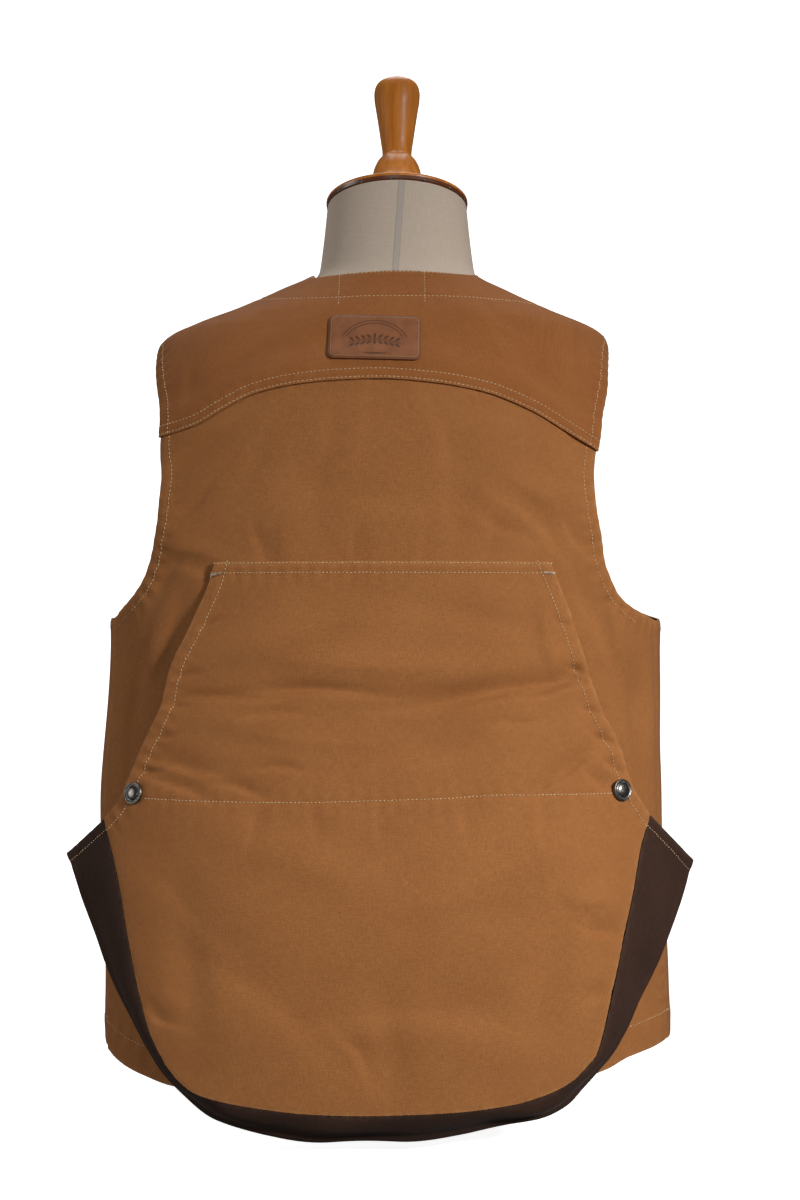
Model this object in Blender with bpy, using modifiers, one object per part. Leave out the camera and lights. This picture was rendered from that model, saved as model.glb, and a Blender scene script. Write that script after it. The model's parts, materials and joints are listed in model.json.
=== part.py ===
"""A canvas hunting vest with a large game bag, on a limbless dress form.

Metres, +Z up, the back of the vest faces +Y. Every cloth panel is a closed wall built from a grid of
points on the vest's own sections, so neighbours share their seam lines and stay 0.3 mm apart.
"""

import math

import bpy
import numpy as np

# Cloth and seams
CLOTH = 0.0016
SEAM_GAP = 0.0003
LAP_RISE = CLOTH + 0.0010
SHOULDER_LAP_RISE = CLOTH + 0.0024
LAP_WIDTH = 0.010
FOLD_ROUND = 0.006

# The vest
SIDE_SEAM_Y = 0.045
FRONT_LAP = 0.015
NECK_SEAM_ANGLE = -32.0
NECK_UNDER_ANGLE = -24.0
SHOULDER_SEAM_Y = -0.045
SHOULDER_UNDER_Y = -0.035
V_POINT_Z = 0.490
FRONT_ROW_Z = 0.335

# Press studs
STUD_RADIUS = 0.0083
STUD_HEIGHT = 0.0036
STUD_LIFT = 0.0004
FRONT_STUDS = 5
FRONT_STUD_TOP = 0.462
FRONT_STUD_PITCH = 0.088

# Leather patch
PATCH_WIDTH = 0.0685
PATCH_HEIGHT = 0.0360
PATCH_CORNER = 0.004
PATCH_THICK = 0.0018
PATCH_CENTRE_X = 0.0172
PATCH_CENTRE_Z = 0.5930
PATCH_TILT = math.radians(1.5)

# Dress form
CAP_RADIUS = 0.0565
CAP_THICK = 0.0048
CAP_TILT = math.radians(11.0)
CAP_CENTRE_Z = 0.7135
KNOB_HEIGHT = 0.1063
FOOT_HALF_WIDTH = 0.105
FOOT_DEPTH_SHARE = 0.78
FOOT_TOP = 0.0625

BODY_COLUMNS = ("z", "half_width", "back", "front", "centre_x", "exponent")
BODY_ROWS = (
    (0.0250, 0.2235, 0.132, 0.134, 0.0065, 2.50),
    (0.1000, 0.2230, 0.130, 0.133, 0.0080, 2.50),
    (0.1800, 0.2228, 0.128, 0.131, 0.0105, 2.50),
    (0.2500, 0.2222, 0.127, 0.130, 0.0122, 2.45),
    (0.3200, 0.2190, 0.128, 0.129, 0.0104, 2.40),
    (0.3850, 0.2172, 0.130, 0.128, 0.0092, 2.40),
    (0.4500, 0.2130, 0.130, 0.124, 0.0110, 2.40),
    (0.5100, 0.2050, 0.127, 0.118, 0.0125, 2.35),
    (0.5600, 0.1940, 0.119, 0.109, 0.0120, 2.25),
    (0.5950, 0.1810, 0.105, 0.097, 0.0110, 2.15),
    (0.6095, 0.1720, 0.098, 0.090, 0.0080, 2.10),
    (0.6165, 0.1595, 0.094, 0.086, 0.0050, 2.10),
    (0.6285, 0.1295, 0.086, 0.077, 0.0040, 2.05),
    (0.6440, 0.0960, 0.074, 0.066, 0.0035, 2.00),
    (0.6600, 0.0648, 0.062, 0.056, 0.0010, 2.00),
    (0.6750, 0.0600, 0.058, 0.053, 0.0000, 2.00),
)

# How far the game bag stands off the vest at each height
BAG_COLUMNS = ("z", "side", "back", "shift_x")
BAG_ROWS = (
    (0.000, 0.0180, 0.0440, 0.0130),
    (0.030, 0.0200, 0.0460, 0.0120),
    (0.080, 0.0220, 0.0460, 0.0100),
    (0.140, 0.0220, 0.0420, 0.0070),
    (0.200, 0.0200, 0.0350, 0.0040),
    (0.2535, 0.0180, 0.0260, 0.0015),
    (0.280, 0.0170, 0.0220, 0.0015),
    (0.330, 0.0130, 0.0140, 0.0010),
    (0.380, 0.0075, 0.0070, 0.0),
    (0.415, 0.0034, 0.0034, 0.0),
    (0.430, 0.0026, 0.0026, 0.0),
)

# The armhole's edge, from the shoulder tip down its back to the underarm, and its front
ARMHOLE_COLUMNS = ("z", "y_left", "y_right", "y_front")
ARMHOLE_ROWS = (
    (0.604, 0.000, 0.000, 0.000),
    (0.598, 0.018, 0.018, -0.018),
    (0.590, 0.033, 0.033, -0.032),
    (0.578, 0.047, 0.047, -0.045),
    (0.558, 0.0646, 0.0625, -0.060),
    (0.532, 0.0800, 0.0790, -0.073),
    (0.510, 0.0850, 0.0880, -0.080),
    (0.489, 0.0895, 0.0930, -0.084),
    (0.462, 0.0915, 0.0960, -0.086),
    (0.442, 0.0895, 0.0950, -0.084),
    (0.428, 0.0868, 0.0940, -0.081),
    (0.415, 0.0825, 0.0915, -0.076),
    (0.403, 0.0740, 0.0875, -0.068),
    (0.396, 0.0650, 0.0815, -0.056),
    (0.391, 0.0560, 0.0730, -0.040),
    (0.388, 0.0500, 0.0640, -0.020),
    (0.3855, 0.0455, 0.0540, 0.015),
    (0.3835, 0.0420, 0.0450, 0.045),
)

# The lower edge of the yoke across the back, left armhole to right
YOKE_COLUMNS = ("x", "z")
YOKE_ROWS = (
    (0.1500, 0.5283),
    (0.1280, 0.5400),
    (0.1067, 0.5500),
    (0.0783, 0.5564),
    (0.0442, 0.5596),
    (0.0118, 0.5606),
    (-0.0206, 0.5585),
    (-0.0635, 0.5516),
    (-0.1006, 0.5377),
    (-0.1250, 0.5240),
    (-0.1418, 0.5148),
)
YOKE_END_LEFT_Z = 0.5210
YOKE_END_RIGHT_Z = 0.5100

# The neck's edge, by the angle round the neck from the left shoulder towards the back
NECK_COLUMNS = ("degrees", "z")
NECK_ROWS = (
    (-45.0, 0.6450),
    (-25.0, 0.6550),
    (0.0, 0.6595),
    (20.0, 0.6560),
    (40.0, 0.6502),
    (60.0, 0.6500),
    (90.0, 0.6512),
    (120.0, 0.6512),
    (140.0, 0.6527),
    (160.0, 0.6570),
    (180.0, 0.6595),
    (205.0, 0.6550),
    (225.0, 0.6450),
)

# The V neck's edge on a front: how far to its own side of the middle, and the height
V_COLUMNS = ("off", "z")
V_ROWS = (
    (-0.0150, 0.4900),
    (0.0170, 0.5220),
    (0.0350, 0.5600),
    (0.0455, 0.5950),
    (0.0525, 0.6200),
    (0.0580, 0.6380),
)

# The back's hem, left side seam to right, and the front's hem height
HEM_COLUMNS = ("x", "z")
HEM_ROWS = (
    (0.2124, 0.0512),
    (0.2030, 0.0440),
    (0.1900, 0.0410),
    (0.1680, 0.0366),
    (0.1000, 0.0330),
    (0.0000, 0.0330),
    (-0.1000, 0.0370),
    (-0.1564, 0.0485),
    (-0.1741, 0.0552),
    (-0.2011, 0.0600),
)
FRONT_HEM_LEFT_Z = 0.0540
FRONT_HEM_RIGHT_Z = 0.0600
FRONT_HEM_CENTRE_Z = 0.0500

# The game bag's slanted edges and its seam to the gusset
BAG_EDGE_COLUMNS = ("x", "z")
BAG_LEFT_EDGE = (
    (0.1345, 0.4262),
    (0.1383, 0.4120),
    (0.1468, 0.3920),
    (0.1580, 0.3684),
    (0.1640, 0.3570),
    (0.1695, 0.3420),
    (0.1735, 0.3241),
    (0.1882, 0.2914),
    (0.1994, 0.2654),
    (0.2065, 0.2500),
    (0.2189, 0.2348),
)
BAG_RIGHT_EDGE = (
    (-0.1130, 0.4262),
    (-0.1180, 0.4141),
    (-0.1261, 0.3934),
    (-0.1346, 0.3691),
    (-0.1415, 0.3470),
    (-0.1488, 0.3241),
    (-0.1656, 0.2891),
    (-0.1743, 0.2616),
    (-0.1887, 0.2379),
)
BAG_LEFT_SEAM = (
    (0.2189, 0.2348),
    (0.2081, 0.2002),
    (0.2025, 0.1790),
    (0.1980, 0.1565),
    (0.1919, 0.1299),
    (0.1860, 0.1070),
    (0.1780, 0.0829),
    (0.1664, 0.0626),
)
BAG_BOTTOM_SEAM = (
    (0.1664, 0.0626),
    (0.1566, 0.0520),
    (0.1444, 0.0441),
    (0.1243, 0.0393),
    (0.1005, 0.0361),
    (0.0656, 0.0328),
    (0.0240, 0.0317),
    (-0.0374, 0.0334),
    (-0.0816, 0.0376),
    (-0.1091, 0.0441),
    (-0.1287, 0.0535),
    (-0.1350, 0.0594),
)
BAG_RIGHT_SEAM = (
    (-0.1350, 0.0594),
    (-0.1441, 0.0685),
    (-0.1479, 0.0789),
    (-0.1542, 0.1033),
    (-0.1598, 0.1249),
    (-0.1673, 0.1565),
    (-0.1741, 0.1832),
    (-0.1805, 0.2130),
    (-0.1887, 0.2379),
)

# The outer fold of the gusset, left wing tip to right, and its line of attachment to the back
FOLD_COLUMNS = ("x", "y", "z")
FOLD_ROWS = (
    (0.2515, 0.070, 0.2062),
    (0.2445, 0.080, 0.1935),
    (0.2350, 0.086, 0.1708),
    (0.2258, 0.096, 0.1510),
    (0.2168, 0.102, 0.1285),
    (0.1991, 0.118, 0.0965),
    (0.1834, 0.130, 0.0695),
    (0.1717, 0.136, 0.0540),
    (0.1557, 0.142, 0.0401),
    (0.1296, 0.150, 0.0233),
    (0.0920, 0.155, 0.0138),
    (0.0459, 0.158, 0.0090),
    (-0.0007, 0.158, 0.0090),
    (-0.0445, 0.155, 0.0138),
    (-0.0785, 0.150, 0.0205),
    (-0.1061, 0.146, 0.0251),
    (-0.1239, 0.142, 0.0329),
    (-0.1343, 0.138, 0.0423),
    (-0.1457, 0.134, 0.0529),
    (-0.1573, 0.129, 0.0648),
    (-0.1669, 0.124, 0.0799),
    (-0.1775, 0.116, 0.0983),
    (-0.1891, 0.106, 0.1171),
    (-0.2055, 0.092, 0.1508),
    (-0.2165, 0.080, 0.1735),
    (-0.2228, 0.073, 0.1898),
    (-0.2262, 0.070, 0.2010),
)
ATTACH_COLUMNS = ("x", "z")
ATTACH_ROWS = (
    (0.2225, 0.2150),
    (0.2235, 0.1600),
    (0.2120, 0.1150),
    (0.1900, 0.0850),
    (0.1600, 0.0630),
    (0.1200, 0.0520),
    (0.0500, 0.0480),
    (-0.0500, 0.0490),
    (-0.1100, 0.0560),
    (-0.1400, 0.0680),
    (-0.1650, 0.0850),
    (-0.1880, 0.1150),
    (-0.2040, 0.1600),
    (-0.2005, 0.2150),
)

# The largest soft folds: centre, direction in degrees from +X, half lengths, and how far out or in
FOLD_SHAPE_COLUMNS = ("x", "z", "degrees", "half_length", "half_width", "height")
BACK_FOLDS = (
    (0.165, 0.440, 60.0, 0.050, 0.014, 0.0030),
    (-0.140, 0.440, 120.0, 0.050, 0.014, 0.0030),
    (0.060, 0.465, 75.0, 0.045, 0.016, -0.0022),
    (-0.045, 0.470, 100.0, 0.045, 0.016, -0.0022),
    (0.200, 0.320, 80.0, 0.060, 0.015, -0.0030),
    (-0.185, 0.320, 100.0, 0.060, 0.015, -0.0030),
)
BAG_FOLDS = (
    (0.000, 0.345, 4.0, 0.100, 0.013, 0.0032),
    (0.030, 0.305, -6.0, 0.090, 0.013, -0.0026),
    (-0.060, 0.385, 12.0, 0.060, 0.010, -0.0022),
    (0.085, 0.370, -16.0, 0.055, 0.011, 0.0026),
    (0.150, 0.130, 82.0, 0.050, 0.014, -0.0036),
    (-0.110, 0.120, 96.0, 0.050, 0.014, -0.0034),
    (0.005, 0.080, 86.0, 0.035, 0.014, -0.0030),
    (0.080, 0.215, 20.0, 0.060, 0.016, 0.0026),
    (-0.080, 0.205, -24.0, 0.060, 0.016, 0.0028),
)

# The dress form's sections, upright and slimmer than the vest
FORM_COLUMNS = ("z", "half_width", "back", "front", "centre_x", "exponent")
FORM_ROWS = (
    (0.0630, 0.1200, 0.078, 0.074, 0.0000, 2.2),
    (0.0660, 0.1330, 0.089, 0.085, 0.0000, 2.2),
    (0.0750, 0.1420, 0.097, 0.093, 0.0000, 2.2),
    (0.1300, 0.1530, 0.106, 0.100, 0.0000, 2.2),
    (0.1900, 0.1520, 0.104, 0.098, 0.0000, 2.2),
    (0.2700, 0.1360, 0.093, 0.089, 0.0000, 2.2),
    (0.3500, 0.1390, 0.099, 0.098, 0.0000, 2.2),
    (0.4300, 0.1480, 0.112, 0.110, 0.0000, 2.2),
    (0.4900, 0.1510, 0.118, 0.112, 0.0010, 2.2),
    (0.5400, 0.1540, 0.1180, 0.1080, 0.0030, 2.2),
    (0.5700, 0.1560, 0.1120, 0.1030, 0.0040, 2.17),
    (0.5918, 0.1550, 0.1028, 0.0948, 0.0040, 2.13),
    (0.6030, 0.1510, 0.0965, 0.0886, 0.0040, 2.10),
    (0.6120, 0.1430, 0.0918, 0.0838, 0.0035, 2.08),
    (0.6195, 0.1320, 0.0868, 0.0785, 0.0030, 2.05),
    (0.6295, 0.1140, 0.0800, 0.0720, 0.0030, 2.02),
    (0.6400, 0.0930, 0.0718, 0.0638, 0.0025, 2.0),
    (0.6490, 0.0755, 0.0655, 0.0585, 0.0010, 2.0),
    (0.6560, 0.0625, 0.0592, 0.0537, 0.0, 2.0),
    (0.6640, 0.0609, 0.0580, 0.0535, 0.0, 2.0),
    (0.6720, 0.0602, 0.0572, 0.0536, 0.0, 2.0),
    (0.6900, 0.0580, 0.0558, 0.0545, 0.0, 2.0),
    (0.7128, 0.0556, 0.0549, 0.0549, 0.0, 2.0),
)
NECK_TILT_FROM = 0.664


# Small helpers


def clear_scene():
    """Removes the startup objects."""
    for item in list(bpy.data.objects):
        bpy.data.objects.remove(item, do_unlink=True)


def material(name, colour, roughness, metallic=0.0):
    """A named Principled material."""
    made = bpy.data.materials.new(name)
    made.use_nodes = True
    shader = made.node_tree.nodes["Principled BSDF"]
    shader.inputs["Base Color"].default_value = (*colour, 1.0)
    shader.inputs["Roughness"].default_value = roughness
    shader.inputs["Metallic"].default_value = metallic
    made.diffuse_color = (*colour, 1.0)
    return made


def curve_through(at, knots, values):
    """Values on a smooth curve through the knots, which never overshoots them."""
    order = np.argsort(knots)
    knots = np.asarray(knots, float)[order]
    values = np.asarray(values, float)[order]
    steps = np.diff(knots)
    slopes = np.diff(values) / steps
    tangents = np.zeros_like(values)
    tangents[0] = slopes[0]
    tangents[-1] = slopes[-1]
    for i in range(1, len(knots) - 1):
        if slopes[i - 1] * slopes[i] > 0:
            before = 2 * steps[i] + steps[i - 1]
            after = steps[i] + 2 * steps[i - 1]
            tangents[i] = (before + after) / (before / slopes[i - 1] + after / slopes[i])
    at = np.clip(at, knots[0], knots[-1])
    k = np.clip(np.searchsorted(knots, at) - 1, 0, len(steps) - 1)
    t = (at - knots[k]) / steps[k]
    h = steps[k]
    return (
        (2 * t**3 - 3 * t**2 + 1) * values[k]
        + (t**3 - 2 * t**2 + t) * h * tangents[k]
        + (-2 * t**3 + 3 * t**2) * values[k + 1]
        + (t**3 - t**2) * h * tangents[k + 1]
    )


def column(rows, index, at):
    """One column of a table, read at the values given for its first column."""
    table = np.array(rows)
    return curve_through(np.asarray(at, float), table[:, 0], table[:, index])


def ease(value):
    """0 below 0, 1 above 1 and a smooth step between."""
    value = np.clip(value, 0.0, 1.0)
    return value * value * (3 - 2 * value)


def path(points, count, scale=(0.2, 1.0), shares=None):
    """Points along the smooth curve through some (angle, height) points, evenly spaced or at shares."""
    points = np.asarray(points, float)
    size = np.ones(points.shape[1])
    size[: len(scale)] = scale
    along = np.concatenate([[0], np.cumsum(np.linalg.norm(np.diff(points * size, axis=0), axis=1))])
    at = along[-1] * (np.linspace(0, 1, count) if shares is None else np.asarray(shares))
    return np.stack([curve_through(at, along, points[:, i]) for i in range(points.shape[1])], axis=1)


def joined(*paths):
    """Paths end to end, their shared points once."""
    return np.concatenate([paths[0]] + [p[1:] for p in paths[1:]])


def between(bottom, top, left, right, shares=None):
    """A grid over the area inside four edge paths: rows go from bottom to top."""
    v = np.linspace(0, 1, len(left))[:, None, None]
    u = (np.linspace(0, 1, len(bottom)) if shares is None else shares)[None, :, None]
    across = (1 - u) * left[:, None, :] + u * right[:, None, :]
    along = (1 - v) * bottom[None] + v * top[None]
    corners = (1 - v) * ((1 - u) * bottom[0] + u * bottom[-1]) + v * ((1 - u) * top[0] + u * top[-1])
    return across + along - corners


# The vest's surface


def section(rows, index, z, bag=False):
    """A size of the vest at a height, or of the bag's outer surface."""
    value = column(rows, index, z)
    if not bag:
        return value
    grows = {1: 1, 2: 2, 4: 3}
    return value + column(BAG_ROWS, grows[index], z) if index in grows else value


def folds_at(x, z, rows):
    """How far the soft folds move the cloth out at a place."""
    total = np.zeros(np.broadcast(x, z).shape)
    for fold_x, fold_z, degrees, half_length, half_width, height in rows:
        turn = math.radians(degrees)
        along = (x - fold_x) * math.cos(turn) + (z - fold_z) * math.sin(turn)
        over = (z - fold_z) * math.cos(turn) - (x - fold_x) * math.sin(turn)
        total = total + height * np.exp(-((along / half_length) ** 2) - (over / half_width) ** 2)
    return total


def surface(angle, z, bag=False):
    """The point of the outer surface at an angle round the body and a height."""
    angle, z = np.broadcast_arrays(np.asarray(angle, float), np.asarray(z, float))
    width = section(BODY_ROWS, 1, z, bag)
    back = section(BODY_ROWS, 2, z, bag)
    front = section(BODY_ROWS, 3, z)
    centre = section(BODY_ROWS, 4, z, bag)
    power = section(BODY_ROWS, 5, z)
    depth = np.where(np.sin(angle) > 0, back, front)
    cosine = np.abs(np.cos(angle)) / width
    sine = np.abs(np.sin(angle)) / depth
    reach = (cosine**power + sine**power) ** (-1 / power)
    x = centre + reach * np.cos(angle)
    y = reach * np.sin(angle)
    fade = ease((np.sin(angle) - 0.05) / 0.25)
    out = fade * folds_at(x, z, BAG_FOLDS if bag else BACK_FOLDS)
    return np.stack([x + out * np.cos(angle) * 0.5, y + out * np.sin(angle), z], axis=-1)


def outward(angle, z, bag=False):
    """The unit normal of the surface."""
    step = 1e-3
    round_it = surface(angle + step, z, bag) - surface(angle - step, z, bag)
    up_it = surface(angle, z + step, bag) - surface(angle, z - step, bag)
    normal = np.cross(round_it, up_it)
    return normal / np.linalg.norm(normal, axis=-1, keepdims=True)


def angle_at_x(x, z, bag=False):
    """The angle of the back surface's point at a sideways place."""
    width = section(BODY_ROWS, 1, z, bag)
    depth = section(BODY_ROWS, 2, z, bag)
    power = section(BODY_ROWS, 5, z)
    off = x - section(BODY_ROWS, 4, z, bag)
    y = depth * np.clip(1 - np.abs(off / width) ** power, 0, 1) ** (1 / power)
    return np.arctan2(y, off)


def angle_at_y(y, z, left):
    """The angle of the point at a depth, on the left or the right side."""
    width = column(BODY_ROWS, 1, z)
    depth = np.where(np.asarray(y) > 0, column(BODY_ROWS, 2, z), column(BODY_ROWS, 3, z))
    power = column(BODY_ROWS, 5, z)
    off = width * np.clip(1 - np.abs(y / depth) ** power, 0, 1) ** (1 / power)
    angle = np.arctan2(y, off)
    return angle if left else math.pi - angle


def on_back(rows, bag=False):
    """(x, z) rows as (angle, z) points of the back."""
    return [(float(angle_at_x(np.float64(x), np.float64(z), bag)), z) for x, z in rows]


# Walls


def grid_normals(points, flip=False):
    """Unit normals of a grid of points."""
    along = np.gradient(points, axis=1)
    up = np.gradient(points, axis=0)
    normal = np.cross(along, up)
    normal /= np.maximum(np.linalg.norm(normal, axis=-1, keepdims=True), 1e-12)
    return -normal if flip else normal


def grid_faces(rows, cols, start, flip):
    """Quads of one skin of a wall."""
    faces = []
    for r in range(rows - 1):
        for c in range(cols - 1):
            a = start + r * cols + c
            quad = (a, a + 1, a + cols + 1, a + cols)
            faces.append(quad[::-1] if flip else quad)
    return faces


def rim_faces(rows, cols, offset, flip):
    """Quads that join the two skins round the grid's edge."""
    loop = [c for c in range(cols)]
    loop += [r * cols + cols - 1 for r in range(1, rows)]
    loop += [(rows - 1) * cols + c for c in range(cols - 2, -1, -1)]
    loop += [r * cols for r in range(rows - 2, 0, -1)]
    faces = []
    for i, a in enumerate(loop):
        b = loop[(i + 1) % len(loop)]
        quad = (b, a, a + offset, b + offset)
        faces.append(quad[::-1] if flip else quad)
    return faces


def is_left_handed(outer, normals):
    """Whether the grid's own winding faces against its normals."""
    middle = grid_normals(outer)
    return float((middle * normals).sum()) < 0


def wall(name, outer, normals, thickness, finish, home):
    """A closed cloth wall between a grid of outer points and the same grid moved inwards."""
    rows, cols = outer.shape[:2]
    inner = outer - normals * thickness
    points = np.concatenate([outer.reshape(-1, 3), inner.reshape(-1, 3)])
    count = rows * cols
    flip = is_left_handed(outer, normals)
    faces = grid_faces(rows, cols, 0, flip)
    faces += grid_faces(rows, cols, count, not flip)
    faces += rim_faces(rows, cols, count, flip)
    return add_mesh(name, points, faces, finish, home)


def add_mesh(name, points, faces, finish, home):
    """A smooth-shaded object from points and faces."""
    mesh = bpy.data.meshes.new(name)
    mesh.from_pydata([tuple(map(float, p)) for p in points], [], faces)
    mesh.validate()
    mesh.update()
    mesh.materials.append(finish)
    for polygon in mesh.polygons:
        polygon.use_smooth = True
    made = bpy.data.objects.new(name, mesh)
    home.objects.link(made)
    return made


def ring_solid(name, rings, finish, home):
    """A closed solid through rings of points, with fan caps."""
    rings = np.asarray(rings)
    count, around = rings.shape[:2]
    points = list(rings.reshape(-1, 3)) + [rings[0].mean(axis=0), rings[-1].mean(axis=0)]
    low, high = count * around, count * around + 1
    faces = []
    for r in range(count - 1):
        for k in range(around):
            a = r * around + k
            b = r * around + (k + 1) % around
            faces.append((a, b, b + around, a + around))
    for k in range(around):
        faces.append((low, (k + 1) % around, k))
        faces.append((high, (count - 1) * around + k, (count - 1) * around + (k + 1) % around))
    return add_mesh(name, points, faces, finish, home)


def turned(name, profile, finish, home, steps=32):
    """A turned solid from (radius, height) points, top to bottom, by a Screw modifier."""
    mesh = bpy.data.meshes.new(name)
    mesh.from_pydata([(r, 0.0, h) for r, h in profile], [(i, i + 1) for i in range(len(profile) - 1)], [])
    mesh.materials.append(finish)
    made = bpy.data.objects.new(name, mesh)
    home.objects.link(made)
    screw = made.modifiers.new("turn", "SCREW")
    screw.axis = "Z"
    screw.steps = steps
    screw.render_steps = steps
    screw.use_merge_vertices = True
    screw.merge_threshold = 0.00001
    screw.use_smooth_shade = True
    return made


# Edges that the panels share


def armhole(left, part):
    """The armhole's edge as (angle, z) points, from the shoulder tip to the underarm."""
    index = {"back": 1 if left else 2, "front": 3}[part]
    return [(float(angle_at_y(row[index], row[0], left)), row[0]) for row in ARMHOLE_ROWS]


def upper_part(points, z):
    """The points of a falling edge above a height, with its own point there."""
    angles = np.array([p[0] for p in points])
    heights = np.array([p[1] for p in points])
    here = float(curve_through(np.float64(z), heights, angles))
    return [p for p in points if p[1] > z + 1e-4] + [(here, z)]


def seam_height(left):
    """How high the side seam meets the armhole."""
    rows = ARMHOLE_ROWS[8:]
    index = 1 if left else 2
    return float(np.interp(SIDE_SEAM_Y, [r[index] for r in rows][::-1], [r[0] for r in rows][::-1]))


def side_seam(left, bottom, back):
    """The side seam from the hem to the armhole, set back by half a seam gap."""
    nudge = SEAM_GAP * 0.8 / 0.2
    toward = (1 if left else -1) * (1 if back else -1)
    heights = np.linspace(bottom, seam_height(left), 8)
    return [(float(angle_at_y(SIDE_SEAM_Y, z, left)) + toward * nudge, z) for z in heights]


def neck_edge(start, end, count):
    """The neck's edge between two angles in degrees."""
    degrees = np.linspace(start, end, count)
    return np.stack([np.radians(degrees), column(NECK_ROWS, 1, degrees)], axis=1)


def yoke_edge(rise=0.0):
    """The yoke's lower edge, left armhole to right, or a line that far above it."""
    left_end = upper_part(armhole(True, "back"), YOKE_END_LEFT_Z + rise)[-1]
    right_end = upper_part(armhole(False, "back"), YOKE_END_RIGHT_Z + rise)[-1]
    middle = on_back([(x, z + rise) for x, z in YOKE_ROWS])
    return [left_end] + middle + [right_end]


def yoke_rise(points):
    """How far the yoke stands off where it laps over the back and the fronts."""
    x, y, z = points[..., 0], points[..., 1], points[..., 2]
    order = [(0.1800, YOKE_END_LEFT_Z), *YOKE_ROWS, (-0.1510, YOKE_END_RIGHT_Z)]
    seam = curve_through(x, [r[0] for r in order], [r[1] for r in order])
    behind = 1 - ease((z - seam - LAP_WIDTH - 0.003) / 0.02)
    ahead = 1 - ease((y - SHOULDER_UNDER_Y - 0.010) / 0.020)
    return np.maximum(LAP_RISE * np.where(y > 0, behind, 0.0), SHOULDER_LAP_RISE * ahead)


# Panels


def yoke_grid(side_cols=10, seam_cols=19, rows=10):
    """The yoke as a fan: columns run from its outer edge to the neck."""
    left_arm = armhole(True, "back")
    right_arm = armhole(False, "back")
    front_left = upper_part(armhole(True, "front"), 0.578)
    front_right = upper_part(armhole(False, "front"), 0.578)
    down_left = front_left[::-1] + upper_part(left_arm, YOKE_END_LEFT_Z)[1:]
    up_right = upper_part(right_arm, YOKE_END_RIGHT_Z)[::-1] + front_right[1:]
    outer = joined(
        path(down_left, side_cols),
        path(yoke_edge(), seam_cols),
        path(up_right, side_cols),
    )
    inner = joined(
        neck_edge(NECK_SEAM_ANGLE, 42.0, side_cols),
        neck_edge(42.0, 138.0, seam_cols),
        neck_edge(138.0, 180.0 - NECK_SEAM_ANGLE, side_cols),
    )
    share = np.linspace(0, 1, rows)[:, None, None]
    return (1 - share) * outer[None] + share * inner[None]


def yoke_surface(grid, out=0.0):
    """Points and normals of the yoke's outer surface."""
    angle, z = grid[..., 0], grid[..., 1]
    points = surface(angle, z)
    normals = outward(angle, z)
    return points + normals * (yoke_rise(points) + out)[..., None], normals


def make_yoke(finish, home):
    """The yoke over the upper back and the shoulders."""
    points, normals = yoke_surface(yoke_grid())
    return wall("back_yoke", points, normals, CLOTH, finish, home)


def back_grid(cols=21, low_rows=13, high_rows=6):
    """The back from its hem to under the yoke."""
    hem = [(x, z) for x, z in HEM_ROWS]
    left_side = side_seam(True, hem[0][1] + 0.001, True)
    right_side = side_seam(False, hem[-1][1] + 0.001, True)
    left_arm = upper_part(armhole(True, "back"), seam_height(True))
    right_arm = upper_part(armhole(False, "back"), seam_height(False))
    left_arm = [p for p in left_arm if p[1] < YOKE_END_LEFT_Z + LAP_WIDTH]
    right_arm = [p for p in right_arm if p[1] < YOKE_END_RIGHT_Z + LAP_WIDTH]
    top = yoke_edge(LAP_WIDTH)
    left = joined(
        path(left_side, low_rows),
        path([left_side[-1]] + left_arm[::-1][1:] + [top[0]], high_rows),
    )
    right = joined(
        path(right_side, low_rows),
        path([right_side[-1]] + right_arm[::-1][1:] + [top[-1]], high_rows),
    )
    bottom = path([left_side[0]] + on_back(hem[1:-1]) + [right_side[0]], cols)
    return between(bottom, path(top, cols), left, right)


def make_back(finish, home):
    """The back panel."""
    grid = back_grid()
    points = surface(grid[..., 0], grid[..., 1])
    normals = outward(grid[..., 0], grid[..., 1])
    return wall("back_panel", points, normals, CLOTH, finish, home)


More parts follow.
